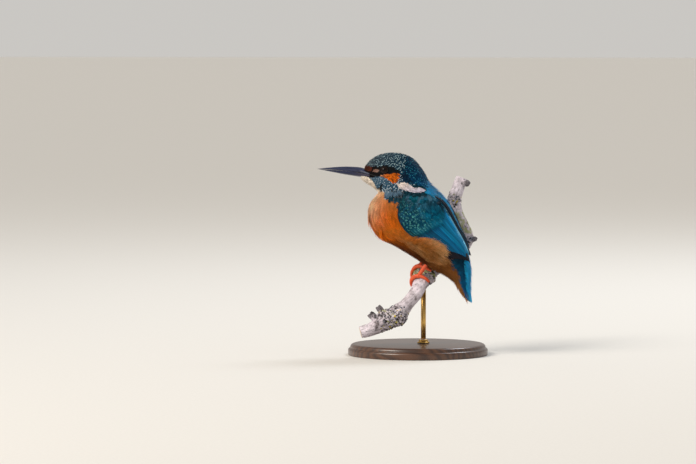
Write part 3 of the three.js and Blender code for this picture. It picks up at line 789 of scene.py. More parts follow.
FIELDS = {
    Region.CROWN: Field(0x525F68, 0x0A3A52, (0, 4.4), Kind.TUFT,
                        (1.9, 4.2), (1.4, 2.3), 1.1, 1.0, 0.8, 0.7, 0.26),
    Region.NAPE: Field(0x06304A, 0x064E7C, (3.6, 6.5), Kind.TUFT,
                       (3.8, 4.8), (2.0, 2.4), 1.25, 0.9, 0.8, 0.8, 0.3),
    Region.LORE: Field(0x140E0E, 0x0A141A, (1, 4.4), Kind.BRISTLE,
                       (1.5, 2.6), (0.6, 1.0), 0.62, 0.0, 0, 0.5, 0.02),
    Region.RUFOUS: Field(0x4A2418, 0x6A3222, (0.6, 2), Kind.BRISTLE,
                         (1.4, 1.8), (0.6, 0.7), 0.6, 0.0, 0, 0.5, 0.05),
    Region.BUFF: Field(0x8A6456, 0xA88678, (1.5, 2.6), Kind.BRISTLE,
                       (1.3, 1.6), (0.5, 0.6), 0.55, 0.0, 0, 0.5, 0.05),
    Region.EAR: Field(0xCC9068, 0xC25C0C, (2.6, 3.5), Kind.BRISTLE,
                      (2.2, 3.8), (0.6, 0.8), 0.64, 0.0, 0, 0.6, 0.2),
    Region.WHITE: Field(0xE6D8D0, 0xC8C2D2, (5, 6.6), Kind.BRISTLE,
                        (3.4, 4.6), (0.8, 1.0), 0.6, 0.0, 0, 0.6, 0.5, 0.06),
    Region.MALAR: Field(0x54748C, 0x1A4860, (2.4, 6.2), Kind.TUFT,
                        (1.8, 4.4), (1.1, 2.1), 1.1, 1.0, 0.75, 0.7, 0.14),
    Region.NECK: Field(0xACC6DC, 0x7098B4, (4, 6.8), Kind.LOOSE,
                       (3.6, 5.0), (1.6, 2.2), 1.0, 0.0, 0, 0.6, 0.4, 0.2),
    Region.CHIN: Field(0xF6EADC, 0xF0DEC8, (0, 4.6), Kind.BRISTLE,
                       (1.5, 3.2), (0.6, 1.0), 0.72, 0.85, 0.32, 0.6, 0.06),
    # the breast's pale front is partly its own paler side and partly a painted highlight
    Region.BREAST: Field(0xFCB66E, 0xF08620, (5.5, 8.5), Kind.LOOSE,
                         (5.5, 9.5), (2.6, 3.6), 1.5, 0, 0, 1.3, 0.12, 0.1),
    # the belly's dark brown rear is painted shade on the underside
    Region.BELLY: Field(0xE27C1E, 0x74401C, (9.5, 12), Kind.LOOSE,
                        (9.0, 10), (3.6, 3.4), 1.6, 0.0, 0, 1.4, 0.12, 0.1),
    Region.FLANK: Field(0xE48826, 0xD0965C, (9.0, 10.8), Kind.LOOSE,
                        (8.0, 10), (3.2, 3.6), 1.55, 0, 0, 1.3, 0.3, 0.12),
    # the vent's darker front carries on the belly's painted shade
    Region.VENT: Field(0xA46630, 0xD89A5C, (12.5, 17), Kind.LOOSE,
                       (8.5, 9.0), (3.2, 3.0), 1.5, 0.0, 0, 1.1, 0.6, 0.1),
    Region.MANTLE: Field(0x0C3C4C, 0x0E5068, (6, 12), Kind.TUFT,
                         (4.8, 7.0), (2.4, 3.4), 1.7, 0.25, 0.5, 1.0, 0.15),
    Region.AZURE: Field(0x10A6DC, 0x28C8F4, (5.8, 8), Kind.LOOSE,
                        (5.0, 8.5), (2.6, 3.2), 1.3, 0, 0, 1.0, 0.8, 0.08),
    # the dark front of the rump's side is partly painted shade
    Region.RUMP_SIDE: Field(0x0A3A50, 0x0A6496, (11.5, 16), Kind.TUFT,
                            (7.0, 7.0), (3.0, 3.0), 1.8, 0.0, 0, 1.0, 0.1),
}


@dataclass
class Markings:
    """Where each field of the plumage lies: by the profile's (x, z) on the head, and by station behind it."""

    body: Body
    crown_edge: Points = (
        (-50, 151.0), (-43, 150.9), (-39.5, 151.6), (-36, 150.4), (-31, 149.6), (-26.7, 149.0),
        (-21, 147.6), (-14, 146.6), (-12.2, 143.0), (-11.2, 140.0), (-2.6, 138.0), (4, 136.0),
        (8.6, 134.0), (14, 131.5), (20, 128.5),
    )
    breast_edge: Points = (
        (-50, 130.6), (-33, 130.9), (-27, 131.4), (-25, 130.8), (-24.0, 127.2), (-21.8, 124.8),
        (-18.6, 122.4), (-16.4, 119.0), (-13, 110.0),
    )
    chin_edge: Points = (
        (-50, 143.6), (-42, 143.4), (-38.5, 141.8), (-36.2, 139.2), (-34.4, 136.0), (-33.2, 133.4),
        (-32.0, 132.3), (-29.5, 131.6), (0, 131.6),
    )
    lore: Points = (
        (-37.4, 142.0), (-46.0, 143.4), (-46.0, 147.8), (-37.5, 150.6), (-34, 151.2), (-29.5, 151.4),
        (-25.5, 152.6), (-20.0, 151.0), (-15.2, 148.8), (-12.8, 145.4), (-19.0, 145.6), (-26.0, 144.2),
        (-30.4, 143.4),
    )
    rufous: Points = (
        (-43.6, 149.0), (-42.4, 152.0), (-39.0, 151.8), (-36.6, 150.0), (-36.8, 147.6), (-40.0, 147.4),
    )
    buff: Points = (
        (-36.0, 147.0), (-35.4, 148.6), (-33.2, 149.1), (-30.9, 148.0), (-30.7, 146.9), (-33.2, 146.3),
    )
    ear: Points = (
        (-29.6, 144.0), (-26, 144.5), (-19, 145.9), (-14.6, 145.6), (-14.0, 142.6), (-14.8, 139.8),
        (-16.4, 138.0), (-19.2, 137.6), (-22.4, 140.3), (-26.0, 142.5), (-29.6, 143.1),
    )
    white: Points = (
        (-14.4, 137.0), (-11.5, 138.1), (-8.5, 138.3), (-5.0, 136.9), (-1.6, 134.4), (0.1, 133.0),
        (1.4, 133.7), (3.4, 134.4), (8.0, 132.5), (7.6, 131.5), (4.0, 131.3), (0.5, 130.7), (-4.8, 131.8),
        (-9.6, 133.5), (-14.2, 135.2),
    )
    neck: Points = (
        (-24.8, 131.4), (-19.8, 131.1), (-13.4, 131.5), (-7.8, 130.8), (-7.8, 129.2), (-13.4, 128.2),
        (-18.2, 127.2), (-21.6, 126.0), (-24.4, 127.4),
    )
    # a shaded hollow rather than a field
    behind_ear: Points = (
        (-13.6, 147.8), (-9.0, 146.8), (-5.5, 143.0), (-3.5, 139.6), (-6.0, 139.0), (-13.2, 141.0),
    )
    ventral_edge: Points = (
        (5.5, 66), (6.5, 74), (7.0, 80), (7.5, 84), (9.3, 84), (10.0, 92), (10.5, 110), (11.1, 124),
        (11.8, 122), (12.2, 117), (12.9, 103), (13.2, 101), (13.5, 105), (14.2, 97), (15.5, 82),
        (16.3, 74), (17.0, 70),
    )
    azure_edge: Points = (
        (5.9, 168), (6.2, 157), (6.5, 146), (6.9, 137), (7.3, 139), (8.0, 150), (9.0, 160), (9.8, 167),
        (12.0, 170), (12.5, 158), (13.0, 150), (15.0, 136), (17.0, 128),
    )

    def region(self, ab: Array) -> Array:
        """The number of the field at places of the body."""
        k, side = ab[..., 0], np.degrees(np.abs(wrapped(ab[..., 1])))
        x, _, z = np.moveaxis(self.body.straight(ab), -1, 0)
        ventral = (side < line(k, self.ventral_edge)) & (k > 3.5)
        head = (k < 7.25) & (z > line(x, self.breast_edge))
        throat = (x < -29.6) | (side < 36) & (k > 2)
        crown = head & (z > line(x, self.crown_edge))
        found = np.full(k.shape, Region.MANTLE.value)
        # each field covers those before it
        for region, where in (
            (Region.RUMP_SIDE, k > 11.6),
            (Region.BREAST, ventral & (k <= 10.2)),
            (Region.BELLY, ventral & (k > 10.2)),
            (Region.FLANK, ventral & (k > 9.4) & (side > 62)),
            (Region.VENT, ventral & (k > 12.8)),
            (Region.MALAR, head),
            (Region.NECK, head & inside(x, z, self.neck)),
            (Region.MANTLE, head & (x > -9) & (k > 5.8)),
            # the lower neck above the wing's front takes the mantle's dark teal, partly as painted shade
            # under the pale neck streak
            (Region.MANTLE, head & (x > -21.0) & (z < 127.0)),
            (Region.CHIN, head & (z < line(x, self.chin_edge)) & throat),
            (Region.CROWN, crown),
            (Region.NAPE, crown & (k + 0.012 * side > 5.55)),
            (Region.LORE, head & inside(x, z, self.lore)),
            (Region.RUFOUS, head & inside(x, z, self.rufous)),
            (Region.BUFF, head & inside(x, z, self.buff)),
            (Region.EAR, head & inside(x, z, self.ear)),
            (Region.WHITE, head & inside(x, z, self.white)),
            (Region.AZURE, (side > line(k, self.azure_edge)) & (k > 5.9)),
        ):
            found[where] = region.value
        return found

    def colour(self, ab: Array, rng: np.random.Generator, region: Region | None = None) -> Array:
        """Red, green, blue and mark at places of the body, each varied a little as feathers are.

        Args:
            ab: the places.
            rng: draws the variation.
            region: the field that they all belong to, if it is known.

        Returns:
            Four numbers for each place.
        """
        found = self.region(ab + rng.normal(0, 0.04, ab.shape) * [1, 0.35])
        if region is not None:
            found[:] = region.value
        k, turn = ab[..., 0], ab[..., 1]
        side = np.degrees(np.abs(wrapped(turn)))
        x, _, z = np.moveaxis(self.body.straight(ab), -1, 0)
        rgb, mark = np.zeros(k.shape + (3,)), np.zeros(k.shape)
        for own_region, part in FIELDS.items():
            own = found == own_region.value
            rgb[own] = mixed(part.front, part.rear, smooth(part.share(k)))[own]
            mark[own] = part.mark * (rng.random(int(own.sum())) < part.marked)
        # the breast is paler in front, partly its own paler side towards the throat and partly a painted
        # highlight where the light falls on it, and the belly darkens between the flanks as painted shade on
        # its underside
        breast = found == Region.BREAST.value
        under = (found >= Region.BREAST.value) & (found <= Region.FLANK.value) & (k > 9.4)
        pale = 0.9 * smooth((72 - side) / 46) * smooth((9.4 - k) / 2.4) * breast
        belly_shade = 0.55 * smooth((62 - side) / 30) * smooth((k - 9.6) / 1.6) * under
        for amount, tint in ((pale, 0xFFDAB6), (belly_shade, 0x8A4420)):
            rgb += (np.array(linear(tint)) - rgb) * amount[..., None]
        light = np.where(breast, 1 + 0.16 * np.sin(9 * turn + 2.1 * k) * np.sin(3.1 * k - 4 * turn), 1)
        # painted shade darkens the hollow behind the ear patch, and no spots show in it
        hollow = (found <= Region.NAPE.value) & inside(x, z, self.behind_ear)
        light[hollow] *= 0.5
        mark[hollow] = 0.0
        # the ear patch is streaked, and browner along its lower edge
        streaked = rng.normal(1, 0.3, k.shape) * (0.55 + 0.45 * smooth((z - 138.2) / 2.2))
        rgb *= np.where(found == Region.EAR.value, light * streaked, light)[..., None]
        # near-black seams of painted shade under the throat, and between the cheek and the pale streak of the
        # collar
        crease_shade = (x < -28.5) & (k > 3.6) | (x > -20.5) & (x < -6.0) & (z < 133.4)
        crease_shade &= found == Region.MALAR.value
        rgb[crease_shade], mark[crease_shade] = linear(0x141E26), 0.15
        return np.clip(painted(rgb * (1 + rng.normal(0, 0.08, k.shape)[..., None]), mark), 0, 1)


# ---------------------------------------------------------------- finishes
def add_node(
    tree: bpy.types.NodeTree, kind: str, settings: dict[str, object] | None = None,
    inputs: dict[int | str, object] | None = None,
) -> bpy.types.Node:
    """Adds a node with its settings and its inputs.

    Args:
        tree: the material's node tree.
        kind: the node's type.
        settings: its properties by name.
        inputs: a value, or the socket that feeds it, by the input's name or number.

    Returns:
        The new node.
    """
    node = tree.nodes.new("ShaderNode" + kind)
    for name, value in (settings or {}).items():
        setattr(node, name, value)
    for key, value in (inputs or {}).items():
        if isinstance(value, bpy.types.NodeSocket):
            tree.links.new(value, node.inputs[key])
        else:
            node.inputs[key].default_value = value
    return node


def rgba(hex_colour: int) -> tuple[float, float, float, float]:
    """An sRGB hex value as a node's linear colour."""
    return (*linear(hex_colour), 1.0)


@dataclass(frozen=True)
class Recipe:
    """What a word in a finish's steps stands for: a kind of node, the inputs it fills, and its result."""

    kind: str
    inputs: tuple[int | str, ...] = ()
    result: int | str = 0
    settings: dict[str, str] = field(default_factory=dict)


RECIPES = {
    "range": Recipe("MapRange", (0, 1, 2, 3, 4)),
    "ease": Recipe("MapRange", (0, 1, 2, 3, 4), 0, {"interpolation_type": "SMOOTHSTEP"}),
    "blend": Recipe("Mix", ("Factor", 6, 7), 2, {"data_type": "RGBA"}),
    "scale": Recipe("VectorMath", (0, "Scale"), 0, {"operation": "SCALE"}),
    "stretch": Recipe("VectorMath", (0, 1), 0, {"operation": "MULTIPLY"}),
    "noise": Recipe("TexNoise", ("Vector", "Scale", "Detail", "Roughness")),
    "cells": Recipe("TexVoronoi", ("Vector", "Scale"), "Distance"),
    "grain": Recipe("TexWave", ("Vector", "Scale", "Distortion", "Detail", "Detail Scale"), 1,
                    {"bands_direction": "Y"}),
    "ramp": Recipe("ValToRGB", (0,)),
    "axes": Recipe("SeparateXYZ", (0,)),
    "channels": Recipe("SeparateColor", (0,)),
    "bump": Recipe("Bump", ("Strength", "Distance", "Height")),
    "marking": Recipe("Attribute", (), "Color", {"attribute_name": "marking"}),
    "mark": Recipe("Attribute", (), "Alpha", {"attribute_name": "marking"}),
    "vane": Recipe("Attribute", (), "Vector", {"attribute_name": "vane"}),
    "place": Recipe("TexCoord", (), "Object"),
}


@dataclass(frozen=True)
class Finish:
    """A finish. Each of its steps is a result's name, a word of the recipes or of arithmetic, and the inputs.

    An input in words is an earlier result, or what the mesh tells: marking, mark, vane or place. A separating
    step names each of its results. Patterns are sized in metres, or in shares of a feather, toe or branch.
    """

    name: str

    def steps(self) -> Rows:
        """The nodes in front of the shader."""
        raise NotImplementedError

    def shader(self) -> dict[str, object]:
        """The shader's inputs."""
        raise NotImplementedError

    def material(self) -> bpy.types.Material:
        """The material."""
        made = bpy.data.materials.new(self.name)
        made.use_nodes = True
        tree = made.node_tree
        tree.nodes.clear()
        results: dict[str, bpy.types.NodeSocket] = {}

        def found(value: object) -> object:
            if value in results or not isinstance(value, str):
                return results.get(value, value)
            source = RECIPES[value]
            results[value] = add_node(tree, source.kind, source.settings).outputs[source.result]
            return results[value]

        for names, word, *given in self.steps():
            recipe = RECIPES.get(word, Recipe("Math", (0, 1, 2), 0, {"operation": word}))
            inputs = {key: found(value) for key, value in zip(recipe.inputs, given)}
            node = add_node(tree, recipe.kind, recipe.settings, inputs)
            if word == "ramp":
                first, *middle, last = given[1]
                stops = node.color_ramp.elements
                for stop, (at, colour) in zip(stops, (first, last)):
                    stop.position, stop.color = at, rgba(colour)
                for at, colour in middle:
                    stops.new(at).color = rgba(colour)
            many = names.split()
            results.update(zip(many, node.outputs) if len(many) > 1 else {names: node.outputs[recipe.result]})
        inputs = {key: found(value) for key, value in self.shader().items()}
        shader = add_node(tree, "BsdfPrincipled", None, inputs)
        add_node(tree, "OutputMaterial", None, {"Surface": shader.outputs[0]})
        return made


@dataclass(frozen=True)
class FeatherFinish(Finish):
    """Keratin vanes, combed by the bird: slanting barbs off each shaft break the light up in fine lines.

    Barbs is how many are drawn along a feather. Real ones are 0.1 mm apart, which is too fine to show, so
    they are drawn 0.3 to 2 mm apart. Strands are the streaks that loose barbs gather in, and streak is how
    much they vary. The spot is an ellipse: its place along the feather, and half its size along and across.
    """

    barbs: float
    spot: int = 0x6FD0E0
    spot_at: float = 0.84
    spot_long: float = 0.1
    spot_wide: float = 0.34
    roughness: float = 0.5
    gloss: float = 0.07
    sheen: float = 0.0
    sheen_tint: int = 0x8FDCFF
    tip: float = 1.12
    root: float = 0.6
    strands: float = 2.5
    streak: float = 0.15
    edge: float = 1.0
    bump: float = 0.3

    def steps(self) -> Rows:
        """Barbs, streaks, light and the spot."""
        rows = [
            ("across along random", "axes", "vane"),
            # each feather has its own streaks, because its random share moves it to another part of the noise
            ("own", "stretch", "vane", (self.strands, 0.8, 90.0)),
            ("streaks", "noise", "own", 1.0, 3.0, 0.6),
            ("off_shaft", "ABSOLUTE", "across"),
            ("slant", "MULTIPLY_ADD", "off_shaft", -0.35, "along"),
            ("turns", "MULTIPLY", "slant", self.barbs * 2 * math.pi),
            ("barb", "SINE", "turns"),
            ("ripple", "MULTIPLY", "barb", 0.3),
            ("height", "MULTIPLY_ADD", "streaks", 1.5, "ripple"),
            ("past", "SUBTRACT", "along", self.spot_at),
            ("down", "DIVIDE", "past", self.spot_long),
            ("beside", "DIVIDE", "across", self.spot_wide),
            ("down_squared", "MULTIPLY", "down", "down"),
            ("reach", "MULTIPLY_ADD", "beside", "beside", "down_squared"),
        ]
        light: object = 1.0
        for name, *limits in (
            ("barb", -1.0, 1.0, 0.88, 1.05),
            # darker at the root, partly the feather's own duller base and partly painted shade where the
            # feathers above overlap it
            ("along", 0.1, 1.0, self.root, self.tip),
            ("off_shaft", 0.02, 0.09, 0.86, 1.0),
            ("across", 0.62, 1.0, 1.0, self.edge),
            ("random", 0.0, 1.0, 0.88, 1.12),
            ("streaks", 0.3, 0.7, 1 - self.streak, 1 + self.streak),
        ):
            rows += [("share", "ease", name, *limits), (f"{name}_lit", "MULTIPLY", light, "share")]
            light = f"{name}_lit"
        return [
            *rows,
            ("share", "ease", "reach", 0.3, 1.5, 1.0, 0.0),
            ("spotted", "MULTIPLY", "mark", "share"),
            ("shaded", "scale", "marking", light),
            ("colour", "blend", "spotted", "shaded", rgba(self.spot)),
            ("normal", "bump", self.bump, 0.06 * MM, "height"),
        ]

    def shader(self) -> dict[str, object]:
        """A dull gloss, with sheen on loose feathers."""
        return {
            "Base Color": "colour", "Roughness": self.roughness, "Normal": "normal", "IOR": KERATIN_IOR,
            "Specular IOR Level": self.gloss, "Sheen Weight": self.sheen, "Sheen Roughness": 0.4,
            "Sheen Tint": rgba(self.sheen_tint),
        }


# the finish of loose, hair-like barbs: dull, with fine streaks
HAIR = {"roughness": 0.75, "sheen": 0.05, "sheen_tint": 0xFFC890, "strands": 7.0, "streak": 0.3, "bump": 0.4,
        "tip": 1.04}


@dataclass(frozen=True)
class SkinFinish(Finish):
    """Down-covered skin between the feathers: the same markings, darker, with painted shade in the pits of
    the follicles.
    """

    name: str = "downy_skin"

    def steps(self) -> Rows:
        """Pits about 1 mm apart."""
        return [
            ("pits", "cells", "place", 900.0),
            # painted shade: darkest in the middle of each pit
            ("depth", "range", "pits", 0.0, 0.6, 0.35, 0.7),
            ("colour", "scale", "marking", "depth"),
            ("normal", "bump", 0.4, 0.15 * MM, "pits"),
        ]

    def shader(self) -> dict[str, object]:
        """Nearly matt."""
        return {"Base Color": "colour", "Roughness": 0.8, "Normal": "normal", "Specular IOR Level": 0.1}


@dataclass(frozen=True)
class HornFinish(Finish):
    """Keratin horn, grown in layers and worn smooth: a soft gloss with fine growth lines along it."""

    dark: int = 0x0B0D18
    light: int = 0x222F5E
    roughness: float = 0.34
    lines: float = 46.0

    def steps(self) -> Rows:
        """Growth lines, which also roughen the gloss."""
        return [
            ("stretched", "stretch", "vane", (self.lines, 3.0, 1.0)),
            ("growth", "noise", "stretched", 1.0, 5.0, 0.6),
            ("share", "range", "growth", 0.35, 0.7),
            ("horn", "blend", "share", rgba(self.dark), rgba(self.light)),
            ("colour", "blend", "mark", "horn", "marking"),
            ("rough", "range", "growth", 0.3, 0.8, self.roughness, self.roughness + 0.18),
            ("normal", "bump", 0.25, 0.08 * MM, "growth"),
        ]

    def shader(self) -> dict[str, object]:
        """A soft gloss."""
        return {"Base Color": "colour", "Roughness": "rough", "Normal": "normal", "Specular IOR Level": 0.36,
                "IOR": KERATIN_IOR}


@dataclass(frozen=True)
class EyeFinish(Finish):
    """A wet cornea over a dark iris: a clear coat as smooth as glass, so it carries one sharp highlight."""

    name: str = "cornea_over_iris"
    pupil: float = 0.5
    iris: int = 0x1C0E08
    rim: int = 0x080606

    def steps(self) -> Rows:
        """Pupil, iris with its fibres, and dark rim, from the middle outwards."""
        stops = ((self.pupil - 0.03, 0x020202), (self.pupil, self.iris), (0.86, self.iris), (0.98, self.rim))
        return [
            ("round out random", "axes", "vane"),
            ("stretched", "stretch", "vane", (60.0, 4.0, 1.0)),
            ("fibres", "noise", "stretched", 1.0, 3.0),
            ("ball", "ramp", "out", stops),
            ("tone", "range", "fibres", 0.3, 0.7, 0.7, 1.3),
            ("colour", "scale", "ball", "tone"),
        ]

    def shader(self) -> dict[str, object]:
        """The iris under the clear cornea."""
        return {"Base Color": "colour", "Roughness": 0.12, "Specular IOR Level": 0.05, "Coat Weight": 0.45,
                "Coat Roughness": 0.02, "Coat IOR": CORNEA_IOR, "IOR": CORNEA_IOR}


@dataclass(frozen=True)
class FootFinish(Finish):
    """Scaly skin of the foot, coral red, soft as thin leather and a little translucent."""

    name: str = "scuted_foot_skin"
    skin: int = 0xEC6236
    crease: int = 0x8E2C18

    def steps(self) -> Rows:
        """Fine scales about 0.5 mm wide, and the darker creases between the scutes."""
        return [
            ("scales", "cells", "place", 1800.0),
            ("warm", "range", "scales", 0.1, 0.6, 0.0, 0.35),
            ("deep", "MAXIMUM", "warm", "mark"),
            ("colour", "blend", "deep", rgba(self.skin), rgba(self.crease)),
            ("normal", "bump", 0.3, 0.08 * MM, "scales"),
        ]

    def shader(self) -> dict[str, object]:
        """Light passes a millimetre into it."""
        return {"Base Color": "colour", "Roughness": 0.45, "Normal": "normal", "Subsurface Weight": 0.12,
                "Subsurface Scale": 1.0 * MM, "Specular IOR Level": 0.35}


@dataclass(frozen=True)
class BarkFinish(Finish):
    """Weathered bark of a dead branch: lilac grey, dry and matt, with cracks, pores and crusts of lichen.

    The marking tells sawn wood, knots and holes in its red, green and blue, and the mark tells moss.
    """

    name: str = "weathered_bark"
    pale: int = 0xF0E6F0
    grey: int = 0xCAC0C8
    dark: int = 0x746A6C
    knot: int = 0x2E2B2C
    moss: int = 0x989C5C
    sawn: int = 0xC9AE86

    def steps(self) -> Rows:
        """Cracks and pores in blotched bark, then the knots, the moss and the sawn ends."""
        stops = ((0.34, self.dark), (0.45, self.grey), (0.62, self.pale))
        return [
            # long cracks about 1.5 mm apart round the branch
            ("stretched", "stretch", "vane", (22.0, 26.0, 1.0)),
            ("cracks", "noise", "stretched", 1.0, 8.0, 0.7),
            ("blotch", "noise", "place", 130.0, 6.0, 0.65),
            ("pores", "cells", "place", 320.0),
            ("base", "ramp", "blotch", stops),
            ("pit", "ease", "pores", 0.06, 0.2, 0.35, 1.0),
            ("crack", "ease", "cracks", 0.36, 0.5, 0.5, 1.0),
            ("shade", "MULTIPLY", "pit", "crack"),
            ("toned", "scale", "base", "shade"),
            # about the knots the bark is nearly black between pale crusts, with a little yellow lichen
            ("wood knots holes", "channels", "marking"),
            ("crust", "noise", "place", 520.0, 4.0, 0.6),
            ("black", "ease", "crust", 0.4, 0.56, 1.0, 0.15),
            ("burnt", "MULTIPLY", "black", "knots"),
            # the blue channel blackens the hollow knots, as painted shade in their holes, and the torn ends
            # of the stubs
            ("charred", "MAXIMUM", "burnt", "holes"),
            ("knotty", "blend", "charred", "toned", rgba(self.knot)),
            ("spread", "noise", "place", 240.0, 5.0, 0.6),
            ("patch", "MULTIPLY", "spread", "mark"),
            ("edge", "ease", "patch", 0.4, 0.5, 0.0, 0.75),
            ("mossy", "blend", "edge", "knotty", rgba(self.moss)),
            ("colour", "blend", "wood", "mossy", rgba(self.sawn)),
            ("height", "MULTIPLY", "shade", "blotch"),
            ("normal", "bump", 0.8, 0.4 * MM, "height"),
        ]

    def shader(self) -> dict[str, object]:
        """Dry and matt."""
        return {"Base Color": "colour", "Roughness": 0.88, "Normal": "normal", "Specular IOR Level": 0.25}


@dataclass(frozen=True)
class LichenFinish(Finish):
    """Crusty lichen: dry, powdery and rough, yellow green to grey."""

    name: str = "crusted_lichen"

    def steps(self) -> Rows:
        """Powder in grains under 1 mm."""
        return [
            ("powder", "noise", "place", 1500.0, 3.0),
            ("tone", "range", "powder", 0.3, 0.7, 0.65, 1.25),
            ("colour", "scale", "marking", "tone"),
            ("normal", "bump", 0.7, 0.2 * MM, "powder"),
        ]

    def shader(self) -> dict[str, object]:
        """Without gloss."""
        return {"Base Color": "colour", "Roughness": 0.95, "Normal": "normal", "Specular IOR Level": 0.15}


@dataclass(frozen=True)
class WalnutFinish(Finish):
    """Turned walnut under satin lacquer: dark grain lines about 4 mm apart, seen through a thin gloss."""

    name: str = "lacquered_walnut"
    pale: int = 0x5E3C26
    dark: int = 0x3C2418

    def steps(self) -> Rows:
        """Wavy grain along X, with fine pores in it."""
        return [
            ("stretched", "stretch", "place", (0.12, 1.0, 1.0)),
            ("rings", "grain", "stretched", 75.0, 7.0, 3.0, 1.4),
            ("pores", "noise", "stretched", 2600.0, 2.0),
            ("fine", "range", "pores", 0.35, 0.6, 0.7, 1.05),
            ("wood", "blend", "rings", rgba(self.dark), rgba(self.pale)),
            ("colour", "scale", "wood", "fine"),
            ("normal", "bump", 0.12, 0.05 * MM, "pores"),
        ]

    def shader(self) -> dict[str, object]:
        """Wood under a satin coat."""
        return {"Base Color": "colour", "Roughness": 0.42, "Normal": "normal", "Coat Weight": 0.5,
                "Coat Roughness": 0.22, "Coat IOR": LACQUER_IOR}


@dataclass(frozen=True)
class BrassFinish(Finish):
    """Turned and lacquered brass: fine tool marks round the rod draw its highlight out."""

    name: str = "turned_brass"
    metal: int = 0xC9A15A

    def steps(self) -> Rows:
        """Tool marks 0.25 mm apart up the rod."""
        return [
            ("stretched", "stretch", "place", (40.0, 40.0, 4000.0)),
            ("marks", "noise", "stretched", 1.0, 2.0),
            ("rough", "range", "marks", 0.3, 0.7, 0.2, 0.36),
            ("normal", "bump", 0.1, 0.02 * MM, "marks"),
        ]

    def shader(self) -> dict[str, object]:
        """Bright metal."""
        return {"Base Color": rgba(self.metal), "Roughness": "rough", "Normal": "normal", "Metallic": 1.0}


@dataclass(frozen=True)
class FloorFinish(Finish):
    """Matt paint, rolled out evenly: nearly one tone, so that the floor stays quiet."""

    name: str = "matt_floor_paint"
    paint: int = 0xE6E4E0

    def steps(self) -> Rows:
        """The nap of the roller."""
        return [
            ("nap", "noise", "place", 400.0, 2.0),
            ("tone", "range", "nap", 0.3, 0.7, 0.97, 1.0),
            ("colour", "scale", linear(self.paint), "tone"),
        ]

    def shader(self) -> dict[str, object]:
        """Matt."""
        return {"Base Color": "colour", "Roughness": 0.9, "Specular IOR Level": 0.2}


